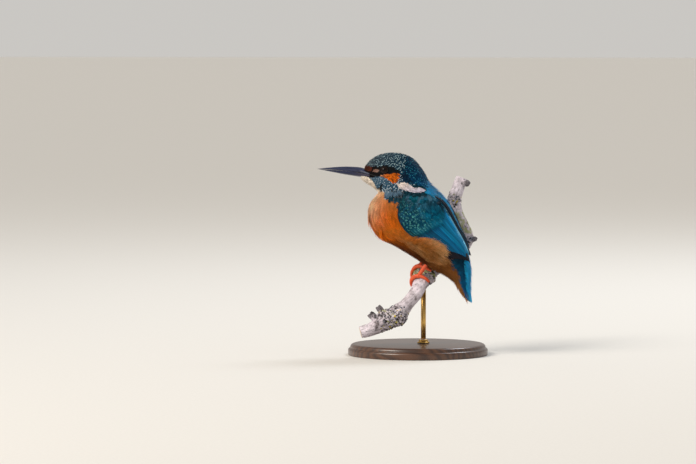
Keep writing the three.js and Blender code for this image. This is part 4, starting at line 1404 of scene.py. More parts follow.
# ---------------------------------------------------------------- head
@dataclass
class Head:
    """What the head carries besides feathers: eyes, lids and the bill."""

    body: Body
    eye: tuple[float, float] = (-26.6, 148.2)
    eye_radius: float = 3.6
    eye_sides: int = 48
    stands_out: float = 1.25
    # no feather grows nearer than this to the middle of the eye
    bare_radius: float = 3.2
    lid_radius: float = 2.76
    lid_corner: float = 0.4
    lid_thick: float = 0.2
    # x, heights of culmen, mouth line and keel, and half width
    bill: Array = field(
        default_factory=lambda: np.array([
            [-38.4, 147.2, 144.2, 141.4, 7.4], [-44.6, 149.7, 145.5, 142.2, 5.1],
            [-51.0, 150.4, 146.4, 143.1, 3.9], [-58.5, 150.6, 147.1, 144.3, 3.1],
            [-66.5, 150.2, 147.8, 145.8, 2.3], [-73.5, 149.6, 148.3, 147.2, 1.4],
            [-80.6, 148.95, 148.75, 148.55, 0.3],
        ])
    )
    # how far each half stays off the mouth line, and how much the ridge of the culmen adds to its height
    mouth_gap: float = 0.15
    ridge: float = 0.06
    nostril: tuple[float, float] = (-46.6, 147.7)
    slit_depth: float = 0.6
    gape_from: float = -40.5
    gape_to: float = -31.5
    lip_radius: float = 0.3
    lip_depth: float = 0.22
    horn: Points = (
        (-60, 150.6), (-43.6, 149.8), (-41.2, 147.9), (-38.9, 146.6), (-37.3, 144.8), (-37.6, 143.4),
        (-40.0, 142.2), (-44.5, 141.9), (-60, 142.5),
    )

    def seat(self, side: int) -> tuple[Array, Array]:
        """The point of the cheek over an eye, and the way that it looks. Side is -1 for the left."""
        place = self.body.seat(*self.eye) * [1, -side]
        return self.body.at(place[None])[0], self.body.normal(place[None])[0]

    def axes(self, outward: Array) -> tuple[Array, Array]:
        """Forward and upward directions square to the way that an eye looks."""
        forward = unit(np.array([-1.0, 0, 0]) - outward * -outward[0])
        up = np.cross(forward, outward)
        return forward, up * np.sign(up[2])

    def eyes(self) -> None:
        """Eyeballs with a slight bulge of the cornea, and the bare lids round them."""
        finish = EyeFinish().material()
        lid_finish = HornFinish("bare_eyelid_skin", 0x080707, 0x141010, 0.6, 30).material()
        for side, name in ((-1, "left"), (1, "right")):
            point, outward = self.seat(side)
            forward, up = self.axes(outward)
            centre = point + outward * (self.stands_out - self.eye_radius)
            polar = np.linspace(0.02, 2.2, 30)
            out = self.eye_radius * np.cos(polar) * (1 + 0.035 * bell(polar / 0.62))
            middles = centre + out[:, None] * outward
            ball = tube(hoops(middles, forward, up, self.eye_radius * np.sin(polar), self.eye_sides))
            # the finish reads how far out on the ball a point lies, 1 at the iris's edge
            share = np.repeat(np.sin(np.minimum(polar, math.pi / 2)), self.eye_sides)
            ball.vane[: len(share), 1] = share / 0.82
            build(f"eyeball_{name}", ball, finish, (f"eye_{name}",))
            build(f"eyelid_{name}", self.lid(point, outward, forward, up), lid_finish)

    def lid(self, point: Array, outward: Array, forward: Array, up: Array) -> Mesh:
        """A ring of beaded bare skin, a little drawn out at its front and rear corners."""
        turn = corners(72)
        reach = self.lid_radius + self.lid_corner * np.abs(np.cos(turn)) ** 6
        flat = reach[:, None] * columns(np.cos(turn), 0.93 * np.sin(turn))
        ball = np.sqrt(np.maximum(self.eye_radius**2 - (flat**2).sum(-1), 0))
        out = np.maximum(ball + self.stands_out - self.eye_radius, 0.05)[:, None]
        path = point + out * outward + flat[:, :1] * forward + flat[:, 1:] * up
        thick = self.lid_thick * (1 + 0.12 * np.sin(24 * turn))
        rings = hoops(path, unit(path - point), 0.9 * outward, thick, 12)
        return tube(np.concatenate([rings, rings[:1]]), closed=False)

    def mandible(self, upper: bool, rings: int = 60, sides: int = 30) -> Mesh:
        """One half of the bill.

        Args:
            upper: the upper half, up to the culmen, rather than the lower, down to the keel.
            rings: sections along it.
            sides: corners of the rounded part of each section.

        Returns:
            The closed half.
        """
        at = np.linspace(0, len(self.bill) - 1, rings)
        x, culmen, mouth, keel, half = spline(self.bill, at).T
        edge, up = (culmen, 1) if upper else (keel, -1)
        low = mouth + up * self.mouth_gap
        angle = np.linspace(0, math.pi, sides)
        ridge = self.ridge * bell((angle - math.pi / 2) / 0.22)
        y = half[:, None] * np.sign(np.cos(angle)) * np.abs(np.cos(angle)) ** 0.92
        z = low[:, None] + (edge - low)[:, None] * (np.sin(angle) ** 0.8 * (0.94 + ridge))
        if upper:
            z = z - self.groove(x[:, None], y, z)
        points = self.body.turned(np.stack([np.broadcast_to(x[:, None], y.shape), y, z], -1))
        # the lower half alone is a little paler towards its root
        share = 0.5 * smooth((x[:, None] + 56) / 14)
        return tube(points, painted(np.broadcast_to(linear(0x40364A), y.shape + (3,)), share) * (not upper))

    def groove(self, x: Array, y: Array, z: Array) -> Array:
        """How deep the slit of the nostril is, in a shallow trough that runs on from it."""
        slope = self.nostril[1] + 0.08 * (self.nostril[0] - x)
        level = bell((z - slope) / 0.55) * (np.abs(y) > 0.6)
        slit = bell(((x - self.nostril[0]) / 1.8) ** 2)
        return self.slit_depth * level * (slit + 0.25 * smooth((x + 62) / 12))

    def build_bill(self) -> None:
        """Both halves of the bill."""
        finish = HornFinish("layered_bill_horn").material()
        build("bill_horn_upper", self.mandible(True), finish, ("bill_upper",))
        build("bill_horn_lower", self.mandible(False), finish, ("bill_lower",))

    def gape(self) -> None:
        """The bare corner of the mouth, a fine dark lip that runs back under the eye on either side."""
        finish = HornFinish("bare_gape_skin", 0x2A1418, 0x5A2E30, 0.5, 20).material()
        x = np.linspace(self.gape_from, self.gape_to, 26)
        z = 144.5 - 0.9 * smooth((x + 39) / 6)
        lips = []
        for side in (1, -1):
            ab = np.array([self.body.seat(a, b) for a, b in zip(x, z)])
            for _ in range(3):
                ab[1:-1] = (ab[:-2] + 2 * ab[1:-1] + ab[2:]) / 4
            ab = ab * [1, side]
            path = self.body.place(ab, -self.lip_depth)
            radii = self.lip_radius * np.sin(np.linspace(0.5, math.pi - 0.15, len(x))) ** 0.7
            lips.append(tube(round_section(path, radii, 10)))
        build("gape", joined(lips), finish)

    def clear_of(self, ab: Array) -> Array:
        """Which places of the body are clear of the eyes and of the bare horn at the bill's root."""
        p = self.body.straight(ab)
        x, z = p[..., 0], p[..., 2]
        return (np.hypot(x - self.eye[0], z - self.eye[1]) > self.bare_radius) & ~inside(x, z, self.horn)


# ---------------------------------------------------------------- body
@dataclass
class Coat:
    """The skin of head, neck and torso, and the feathers over it."""

    body: Body
    head: Head
    markings: Markings
    rings: int = 190
    sides: int = 120
    # the last stations that the skin and the feathers' tips reach
    skin_end: float = 16.6
    tips_end: float = 17.4
    # a feather shows near its tip, at this share of its length, and that place decides its field
    shown_at: float = 0.62
    # its colour is that of the place at this share
    coloured_at: float = 0.3
    first_seed: int = 100

    def skin(self) -> None:
        """One unbroken skin, sunk below the plumage."""
        ab = grid(np.linspace(0.0, self.skin_end, self.rings), corners(self.sides))
        depth = 0.55 + 0.75 * smooth((ab[..., 0] - 5.2) / 2.5)
        mesh = tube(self.body.place(ab, -depth), self.markings.colour(ab, np.random.default_rng(5)))
        build("skin", mesh, SkinFinish().material(), ("head", "neck", "torso"))

    def plant(self, region: Region, seed: int) -> Feathers:
        """The feathers of one field."""
        part = FIELDS[region]
        low, high = self.reach(region)

        def belongs(ab: Array) -> Array:
            length = between(*part.length, part.share(ab[..., 0]))
            shown = aim(self.body, ab, self.lie(region, ab), self.shown_at * length)
            clear = self.head.clear_of(ab) & self.head.clear_of(shown)
            return (self.markings.region(shown) == region.value) & clear

        places = scatter(self.body, low, high, part.gap, belongs, seed)
        rng = np.random.default_rng(seed + 1)
        share, count = part.share(places[:, 0]), len(places)
        length = between(*part.length, share) * rng.normal(1, 0.09, count)
        width = between(*part.width, share) * rng.normal(1, 0.08, count)
        yaw = rng.normal(0, part.ruffle, count) + self.lie(region, places)
        # a few draw out longer, and others stand off
        drawn_out = self.wisps(region, places, length, np.random.default_rng(seed + 2)) > 0
        length = length * (1 + 0.3 * drawn_out)
        tips = aim(self.body, places, yaw, length)
        keep = tips[:, 0] < self.tips_end
        loft = part.loft * self.standing(region, tips[:, 0]) * (1 + rng.normal(0, 0.5, count))
        rise = loft + self.wisps(region, places, length, rng)
        lifts = columns(-part.depth, rise, rng.normal(0, 0.06, count))
        colour = self.markings.colour(places + self.coloured_at * (tips - places), rng, region)
        return Feathers(places[keep], tips[keep], width[keep], lifts[keep], colour[keep], part.kind)

    def reach(self, region: Region) -> tuple[tuple[float, float], tuple[float, float]]:
        """The stations and angles between which a field lies."""
        spans = {
            Region.BREAST: (4.2, 10.3), Region.BELLY: (9.0, 13.0), Region.FLANK: (8.4, 12.6),
            Region.VENT: (11.2, 16.9), Region.MANTLE: (5.2, 12.0), Region.AZURE: (5.2, 15.8),
            Region.RUMP_SIDE: (10.5, 16.6), Region.NAPE: (3.0, 6.9), Region.NECK: (3.6, 7.2),
        }
        low, high = spans.get(region, (0.02, 7.2))
        return (low, -math.pi), (high, math.pi)

    def standing(self, region: Region, k: Array) -> Array:
        """How many times their usual loft feathers stand off: flat between the wings, full under the tail."""
        if region is Region.AZURE:
            return 1 - 0.85 * smooth((k - 7.9) / 0.8) * smooth((12.8 - k) / 0.5)
        if region is Region.VENT:
            return 1 + 0.6 * smooth((k - 14.6) / 1.6)
        return np.ones_like(k)

    def wisps(self, region: Region, places: Array, length: Array, rng: np.random.Generator) -> Array:
        """How much more the tips of a few long wispy breast feathers stand off than the rest."""
        if region not in (Region.BREAST, Region.BELLY):
            return np.zeros(len(places))
        low = (np.abs(places[:, 1]) < math.radians(60)) & (places[:, 0] > 7.4) & (places[:, 0] < 9.6)
        return np.where(low & (rng.random(len(places)) < 0.1), 0.2 * length, 0.0)

    def lie(self, region: Region, places: Array) -> Array:
        """How far feathers turn off the body's length: flank feathers sweep up over the wing's edge."""
        side = wrapped(places[:, 1])
        wave = 0.1 * np.sin(2.3 * places[:, 0] + 3 * side)
        swept = {Region.FLANK: 0.35, Region.WHITE: 0.6, Region.EAR: 0.2, Region.NECK: 0.3}
        return wave + swept.get(region, 0.0) * np.sign(side)

    def feathers(self) -> None:
        """All the coat's pieces."""
        face = (Region.LORE, Region.RUFOUS, Region.BUFF, Region.EAR, Region.WHITE)
        for name, slot, regions, finish in (
            ("crown", "head", (Region.CROWN,), FeatherFinish("crown_barbs", 7, 0xC4E4EA, 0.8, 0.13, 0.5)),
            ("nape", "neck", (Region.NAPE,), FeatherFinish("nape_barbs", 8, 0x54CAE6, 0.82, 0.1, 0.4)),
            ("face", "head", face,
             FeatherFinish("face_bristles", 4, roughness=0.65, root=0.65, tip=1.08, streak=0.35)),
            ("throat", "head", (Region.CHIN,),
             FeatherFinish("throat_bristles", 4, 0x5A4A44, 0.85, 0.16, 2.0, 0.62, root=0.75)),
            ("malar", "head", (Region.MALAR, Region.NECK),
             FeatherFinish("malar_barbs", 6, 0xE0EEF6, 0.8, 0.16, 0.7)),
            ("breast", "breast", (Region.BREAST,), FeatherFinish("loose_breast_barbs", 9, root=0.74, **HAIR)),
            ("belly", "breast", (Region.BELLY, Region.VENT),
             FeatherFinish("loose_belly_barbs", 9, root=0.58, **HAIR)),
            ("flank", "breast", (Region.FLANK,), FeatherFinish("loose_flank_barbs", 9, root=0.66, **HAIR)),
            ("mantle", "neck", (Region.MANTLE, Region.RUMP_SIDE),
             FeatherFinish("mantle_barbs", 12, 0x48A8C4, spot_long=0.06, spot_wide=0.2)),
            ("back", "neck", (Region.AZURE,),
             FeatherFinish("azure_back_barbs", 9, roughness=0.4, sheen=0.25, root=0.85, gloss=0.25,
                           strands=6.0, streak=0.22, bump=0.4)),
        ):
            parts = [grow(self.body, self.plant(own, self.first_seed + 7 * own.value), own.value)
                     for own in regions]
            build(f"{name}_feathers", joined(parts), finish.material())


# ---------------------------------------------------------------- wings
@dataclass(frozen=True)
class Tier:
    """One row of wing feathers, from the wing's lower edge up.

    Roots and tips are (s, t), width is in millimetres, and lifts are shares of the height of the stack.
    """

    name: str
    count: int
    roots: tuple[tuple[float, float], tuple[float, float]]
    tips: tuple[tuple[float, float], tuple[float, float]]
    width: float
    lifts: tuple[float, float]
    colours: tuple[int, int]
    mark: float = 0.0
    kind: Kind = Kind.FLIGHT


# where the feathers at the lower and upper ends of each tier have their roots, and then their tips
TIERS = (
    # the meeting edges and the inner tertials are near black: painted shade in the gap between the wings
    Tier("meeting_edges", 4, ((0.36, 1.13), (0.52, 1.18)), ((0.66, 1.15), (0.93, 1.16)), 3.0, (0.9, 1.7),
         (0x0A1C2A, 0x0E2C40)),
    Tier("inner_tertials", 6, ((0.26, 1.05), (0.46, 1.1)), ((0.5, 1.08), (0.94, 1.09)), 3.0, (0.85, 1.7),
         (0x0A1A28, 0x0C2638)),
    Tier("primaries", 9, ((0.44, 0.07), (0.5, 0.55)), ((0.88, 0.05), (0.99, 0.84)), 4.8, (0.3, 0.56),
         (0x16121A, 0x141A26)),
    Tier("secondaries", 13, ((0.34, 0.09), (0.34, 0.62)), ((0.75, 0.07), (0.925, 0.66)), 4.8, (0.4, 0.8),
         (0x033E54, 0x06689A)),
    Tier("tertials", 7, ((0.3, 0.6), (0.36, 0.93)), ((0.9, 0.7), (0.9, 0.93)), 4.4, (0.55, 1.0),
         (0x056A92, 0x0F8AC0)),
    # the bright edges are a painted highlight along the wing's upper edge
    Tier("bright_edges", 3, ((0.32, 0.95), (0.42, 1.02)), ((0.7, 0.955), (0.93, 1.01)), 2.6, (0.62, 1.6),
         (0x1C8CC8, 0x88D6F8)),
    Tier("greater_coverts", 13, ((0.26, 0.06), (0.22, 0.72)), ((0.56, 0.07), (0.58, 0.7)), 3.7, (0.5, 1.02),
         (0x03343E, 0x055A7A), 0.12, Kind.COVERT),
)


@dataclass
class WingCoat:
    """One folded wing: its pad, its tiers of feathers, its small coverts and its scapulars."""

    wing: Wing
    name: str
    mirrored: bool
    seed: int
    reach: float = 1.0
    # sizes of single feathers on the OFBake map
    quill_patch: float = 0.03
    covert_patch: float = 0.004
    scapular_patch: float = 0.006

    def pad(self) -> Mesh:
        """The fleshy bed that the coverts are rooted in."""
        top = grid(np.linspace(0, 0.6, 26), np.linspace(0.02, 0.96, 18))
        under = self.wing.place(top, 0.05)[:, ::-1]
        rings = np.concatenate([self.wing.place(top, self.wing.bed(top)), under], 1)
        # its dark teal is painted shade, standing for the shade between the coverts
        pad = tube(rings, painted(np.broadcast_to(linear(0x06303C), rings.shape)))
        pad.patch = 0.99 + 0.005 * pad.vane[:, :2]
        return pad

    def lie(self, places: Array) -> Array:
        """How far small feathers turn off the wing's length: those of the shoulder lie along the body."""
        along = unit(self.wing.slopes(places)[0])
        down = unit(self.wing.body.slopes(self.wing.on_body(places))[0])
        across = np.cross(self.wing.normal(places), along)
        turn = np.arctan2((across * down).sum(-1), (along * down).sum(-1))
        return turn * (0.9 - 0.9 * smooth((places[:, 0] - 0.08) / 0.4))

    def tier(self, tier: Tier) -> Mesh:
        """One tier of feathers."""
        rng = np.random.default_rng(self.seed + len(tier.name))
        share = np.linspace(0, 1, tier.count)[:, None]
        roots = between(*np.array(tier.roots), share)
        tips = between(*np.array(tier.tips), share)
        tips = (tips + rng.normal(0, 0.004, tips.shape)) * [self.reach, 1]
        rgb = mixed(*tier.colours, share[:, 0]) * rng.normal(1, 0.06, (tier.count, 1))
        colour = painted(rgb, tier.mark)
        root_lift, tip_lift = self.wing.stack(roots) * tier.lifts[0], self.wing.stack(tips) * tier.lifts[1]
        lifts = columns(root_lift, tip_lift, 0.2)
        width = np.full(tier.count, tier.width) * rng.normal(1, 0.03, tier.count)
        patch = self.quill_patch if tier.kind is Kind.FLIGHT else self.covert_patch
        return grow(self.wing, Feathers(roots, tips, width, lifts, colour, tier.kind), self.seed, patch)

    def small_coverts(self) -> Mesh:
        """Lesser and median coverts, smallest at the wing's front, most with a bright spot at the tip."""
        places = scatter(self.wing, (-0.14, 0.02), (0.47, 1.0), 1.5, self.in_front, self.seed + 3)
        rng = np.random.default_rng(self.seed + 4)
        share, count = smooth((places[:, 0] + 0.05) / 0.35), len(places)
        length = (4.4 + 2.8 * share) * rng.normal(1, 0.08, count)
        tips = aim(self.wing, places, self.lie(places) + rng.normal(0, 0.1, count), length)
        lifts = columns(self.wing.bed(places) - 0.6, self.piled(tips) + rng.normal(0, 0.06, count), 0.1)
        # green in front and bluer behind, and darker towards the wing's lower edge
        light = (0.5 + 0.5 * smooth(places[:, 1:2] / 0.4)) * rng.normal(1, 0.14, (count, 1))
        low = 1 - smooth((places[:, 1] - 0.45) / 0.25)
        mark = (0.15 + 0.85 * low * rng.random(count) ** 0.5) * (rng.random(count) < 0.4 + 0.5 * low)
        colour = painted(mixed(0x045A6C, 0x045070, share) * light, mark)
        feathers = Feathers(places, tips, 2.7 + 1.0 * share, lifts, colour, Kind.TUFT)
        return grow(self.wing, feathers, self.seed + 5)

    def in_front(self, ab: Array) -> Array:
        """Which places carry small coverts: they keep off the lower edge, which their tips reach over."""
        s, t = ab[..., 0], ab[..., 1]
        rear = 0.46 - 0.07 * smooth((t - 0.3) / 0.4)
        return (s > -0.135) & (s < rear) & (t > 0.02 + 0.05 * smooth(s / 0.2))

    def piled(self, tips: Array) -> Array:
        """How high the tips of small feathers lie: on the bed in front, and on the larger coverts behind."""
        bed = self.wing.bed(tips) + 0.75
        return bed + (self.wing.stack(tips) + 0.35 - bed) * smooth((tips[:, 0] - 0.1) / 0.24)

    def scapulars(self) -> Mesh:
        """Feathers of the shoulder blade, which lie over the wing's upper edge."""
        places = scatter(self.wing, (-0.13, 0.5), (0.42, 1.2), 1.9, self.on_blade, self.seed + 8)
        rng = np.random.default_rng(self.seed + 9)
        share, count = smooth((places[:, 0] + 0.02) / 0.36), len(places)
        length = (5.5 + 5.0 * share) * rng.normal(1, 0.08, count)
        tips = aim(self.wing, places, self.lie(places) + rng.normal(0, 0.08, count), length)
        edge = smooth((places[:, 1] - 0.86) / 0.12) * smooth((places[:, 0] - 0.14) / 0.14)
        lifts = columns(self.wing.bed(places) - 0.5, self.piled(tips) + 0.25 - 0.2 * edge, 0.12)
        # dull in front and teal behind, with painted shade along the wing's upper edge: a dark line there,
        # and the feathers darker towards it
        mix = np.clip(share + rng.normal(0, 0.08, count), 0, 1)
        rgb = mixed(0x466E84, 0x0E7C9E, mix) * rng.normal(1, 0.07, (count, 1))
        rgb += (np.array(linear(0x0C2838)) - rgb) * edge[:, None]
        colour = painted(rgb * (1 - 0.4 * smooth((places[:, 1:2] - 0.9) / 0.15)))
        feathers = Feathers(places, tips, 3.2 + 1.1 * share, lifts, colour, Kind.TUFT)
        return grow(self.wing, feathers, self.seed + 10, self.scapular_patch)

    def on_blade(self, ab: Array) -> Array:
        """Which places lie on the shoulder blade."""
        s, t = ab[..., 0], ab[..., 1]
        high = 1.05 + 0.14 * smooth((s + 0.1) / 0.08) * (1 - smooth((s - 0.2) / 0.12))
        return (t > 0.62 - 0.2 * smooth((s - 0.1) / 0.2)) & (t < high)

    def build(self, flight: bpy.types.Material, coverts: bpy.types.Material) -> None:
        """Both pieces of the wing."""
        *quills, greater_coverts = [self.tier(tier) for tier in TIERS]
        over = [self.pad(), greater_coverts, self.small_coverts(), self.scapulars()]
        for what, parts, finish, replaced in (
            ("flight_feathers", quills, flight, (self.name,)), ("coverts", over, coverts, ()),
        ):
            mesh = joined(parts)
            mesh = mesh.mirrored() if self.mirrored else mesh
            build(f"{self.name}_{what}", mesh, finish, replaced)


@dataclass
class FlankPuff:
    """Loose flank feathers, which are rooted under the wing's lower edge and curl up over it."""

    body: Body
    seed: int = 200
    width: float = 2.8
    # the station and angle, in degrees, of the puff's upper edge
    edge: Points = (
        (9.6, 80), (10.0, 86), (10.1, 92), (10.18, 101), (10.35, 115), (10.75, 119), (11.14, 124),
        (11.8, 121), (12.16, 115), (12.5, 104),
    )

    def over(self, k: Array, angle: Array) -> Array:
        """How far places lie over the wing rather than under it."""
        return smooth((angle - line(k, WING_REAR_EDGE) + 7) / 9)

    def build(self) -> None:
        """The puffs of both sides, planned from the feathers' tips."""
        puffs = []
        for side in (1, -1):
            tips = scatter(self.body, (9.6, 0.9), (12.5, 2.25), 1.1, self.covered, self.seed + side)
            rng = np.random.default_rng(self.seed + 10 + side)
            k, angle = tips[:, 0], np.degrees(tips[:, 1])
            over, count = self.over(k, angle), len(k)
            yaw = 0.25 + (0.25 + 0.85 * over) * (1 - smooth((k - 10.3) / 1.8)) + rng.normal(0, 0.13, count)
            length = (7.5 + 1.0 * smooth((k - 10.4) / 1.0)) * rng.normal(1, 0.1, count)
            roots = aim(self.body, tips, yaw, -length)
            root_angle = np.degrees(roots[:, 1])
            keep = root_angle < line(roots[:, 0], self.edge) + 1
            root_lift = -0.9 + 2.9 * self.over(roots[:, 0], root_angle)
            tip_lift = 0.4 + 3.0 * over + rng.normal(0, 0.08, count)
            lifts = columns(root_lift, tip_lift, rng.normal(0, 0.06, count))
            # palest along the upper edge, orange in front, and darker low down at the rear
            near = smooth(1 - (line(k, self.edge) - angle) / 24)
            mix = np.clip(0.1 + 0.7 * near + rng.normal(0, 0.1, count), 0, 1)
            rgb = mixed(0xCE8438, 0xF0C48C, mix) * rng.normal(1, 0.06, (count, 1))
            rgb += (np.array(linear(0xE48A30)) - rgb) * (1 - smooth((k - 9.9) / 0.9))[:, None]
            colour = painted(rgb * (1 - 0.4 * smooth((k - 11.2) / 1.0) * (1 - near))[:, None])
            roots, tips, width = roots * [1, side], tips * [1, side], np.full(keep.sum(), self.width)
            feathers = Feathers(roots[keep], tips[keep], width, lifts[keep], colour[keep], Kind.LOOSE)
            puffs.append(grow(self.body, feathers, self.seed + 20 + side))
        finish = FeatherFinish("puffed_flank_barbs", 9, root=0.74, **HAIR)
        build("flank_puffs", joined(puffs), finish.material())

    def covered(self, ab: Array) -> Array:
        """Which places the puff covers: a strip below its upper edge."""
        angle = np.degrees(ab[..., 1])
        edge = line(ab[..., 0], self.edge)
        return (angle > edge - 40) & (angle < edge)


# ---------------------------------------------------------------- tail
@dataclass
class TailCoat:
    """The tail's feathers and the long coverts over their roots."""

    tail: Tail
    pairs: int = 6
    width: float = 4.8
    covert_width: float = 4.6
    # how far across the roof of the tail the outermost feathers lie
    spread: float = 0.78
    covert_rows: Points = ((-0.1, 6), (0.0, 6), (0.1, 7), (0.2, 6))

    def quills(self) -> Mesh:
        """Tail feathers, the central pair uppermost."""
        outer = np.repeat(np.arange(self.pairs)[::-1], 2)
        side = np.tile([-1, 1], self.pairs)
        across = self.spread * side * (outer + 0.5) / (self.pairs - 0.4)
        roots, tips = columns(0.04, across * 0.8), columns(0.985, across)
        lifts = columns(0.35 - 0.1 * outer, 0.45 - 0.12 * outer, -0.1 * side)
        colour = painted(mixed(0x10A8DC, 0x084A7C, outer / (self.pairs - 1)))
        width = np.full(len(side), self.width)
        return grow(self.tail, Feathers(roots, tips, width, lifts, colour, Kind.FLIGHT), 61, 0.03)

    def coverts(self) -> Mesh:
        """Azure coverts over the roots of the tail."""
        rng = np.random.default_rng(71)
        rows = []
        for start, count in self.covert_rows:
            across = np.linspace(-self.spread, self.spread, count) + rng.normal(0, 0.03, count)
            rows.append(columns(start + rng.normal(0, 0.01, count), across))
        roots = np.concatenate(rows)
        out = np.abs(roots[:, 1])
        tips = roots + columns(0.3 - 0.08 * out, 0.04 * roots[:, 1])
        lifts = columns(-0.2, 1.25 - 0.5 * out, rng.normal(0, 0.05, len(roots)))
        colour = painted(np.broadcast_to(linear(0x18B4E4), (len(roots), 3)))
        width = np.full(len(roots), self.covert_width)
        return grow(self.tail, Feathers(roots, tips, width, lifts, colour, Kind.COVERT), 73, 0.02)

    def build(self) -> None:
        """Both pieces of the tail."""
        vanes = FeatherFinish("tail_quills", 60, roughness=0.4, gloss=0.2, root=0.8, tip=1.0, streak=0.25,
                              edge=1.35)
        over = FeatherFinish("tail_coverts", 26, roughness=0.42, sheen=0.15, gloss=0.2, root=0.8, streak=0.2)
        build("tail_quills", self.quills(), vanes.material(), ("tail",))
        build("tail_coverts", self.coverts(), over.material(), ())


# ---------------------------------------------------------------- legs and feet
@dataclass(frozen=True)
class Toe:
    """A toe's reach from where the toes part: station, angle in degrees, and radius."""

    along: float
    angle: float
    radius: float


@dataclass
class Foot:
    """One foot round the perch, with its bare leg."""

    branch: Branch
    side: str
    along: float
    angle: float
    hip: tuple[float, float, float]
    toes: tuple[Toe, ...] = (
        Toe(-0.2, -124, 1.6), Toe(0.02, -132, 1.7), Toe(0.26, -98, 1.5), Toe(-0.06, 74, 1.5),
    )
    tarsus: float = 1.5
    claw: float = 4.2
    heel_lift: float = 1.8
    knuckle: float = 1.95
    # how many scutes lie on a toe and on the leg, and how many pads lie under a toe
    scutes: int = 15
    leg_scutes: int = 12
    pads: int = 4

    def heel(self) -> Array:
        """Where toes and leg come together."""
        return self.branch.off(np.array([self.along]), np.radians([self.angle]), self.heel_lift)[0]

    def toe(self, toe: Toe) -> tuple[Mesh, Mesh]:
        """A toe with its scutes and pads, and its claw."""
        u = np.linspace(0, 1, 54)
        along = self.along + toe.along * smooth(u * 1.2)
        angle = np.radians(self.angle + toe.angle * u)
        path = self.branch.off(along, angle, 0.3 + toe.radius * (1 - 0.28 * u))
        tangent = unit(np.gradient(path, axis=0))
        across = unit(np.cross(tangent, unit(path - self.branch.axes(along)[0])))
        sides = 16
        top, sole = np.clip(np.sin(corners(sides)) * [[1], [-1]], 0, 1)
        # each scute slopes up to its front edge, and the sole swells in four pads
        scute = (u[:, None] * self.scutes) % 1
        pads = 0.07 * np.sin(u[:, None] * self.pads * 2 * math.pi)
        radii = toe.radius * (1 - 0.3 * u[:, None]) * (1 + 0.17 * top * (scute - 0.6) + pads * sole)
        crease = 0.95 * bell(scute / 0.22) * (0.25 + 0.75 * top)
        rings = hoops(path, across, np.cross(across, tangent), radii, sides)
        return tube(rings, painted(np.zeros(rings.shape), crease)), self.nail(path, toe)

    def nail(self, path: Array, toe: Toe) -> Mesh:
        """A claw that curves down to the bark."""
        tip = path[-1]
        ahead = unit(tip - path[-6])
        inward = unit(self.branch.axes(np.array([self.along + toe.along]))[0][0] - tip)
        u = np.linspace(0, 1, 18)
        curve = tip + ahead * (self.claw * u - 0.6)[:, None] + inward * (1.1 * u * u - 0.25)[:, None]
        radii = 0.75 * np.interp(u, [0, 0.4, 0.75, 1], [0.95, 0.78, 0.45, 0.06])
        return tube(round_section(curve, radii, 12))

    def leg(self) -> Mesh:
        """The bare leg from the plumage to the toes."""
        u = np.linspace(0, 1, 40)
        heel, hip = self.heel(), np.array(self.hip)
        path = heel + (hip - heel) * u[:, None]
        scute = (u * self.leg_scutes) % 1
        radii = self.tarsus * (1 + 0.25 * u) * (1 + 0.05 * (scute - 0.5))
        rings = round_section(path, radii, 18)
        return tube(rings, painted(np.zeros(rings.shape), 0.6 * bell(scute / 0.18)[:, None]))

    def build(self, skin: bpy.types.Material, horn: bpy.types.Material) -> None:
        """Foot, claws and leg."""
        pairs = [self.toe(toe) for toe in self.toes]
        polar = np.linspace(0.05, math.pi - 0.05, 16)
        x, y, z = np.eye(3)
        middles = self.heel() + self.knuckle * np.cos(polar)[:, None] * z
        ball = tube(hoops(middles, x, y, self.knuckle * np.sin(polar), 20), np.zeros((16, 20, 4)))
        toes, claws = zip(*pairs)
        build(f"toes_{self.side}", joined([ball, *toes]), skin, (f"foot_{self.side}",))
        build(f"claws_{self.side}", joined(claws), horn)
        build(f"tarsus_{self.side}", self.leg(), skin, (f"leg_{self.side}",))


# ---------------------------------------------------------------- perch
@dataclass(frozen=True)
class Stub:
    """A broken twig: station, angle in degrees, length, radii at root and end, and lean along the branch."""

    along: float
    angle: float
    long: float
    root: float
    end: float
    lean: float


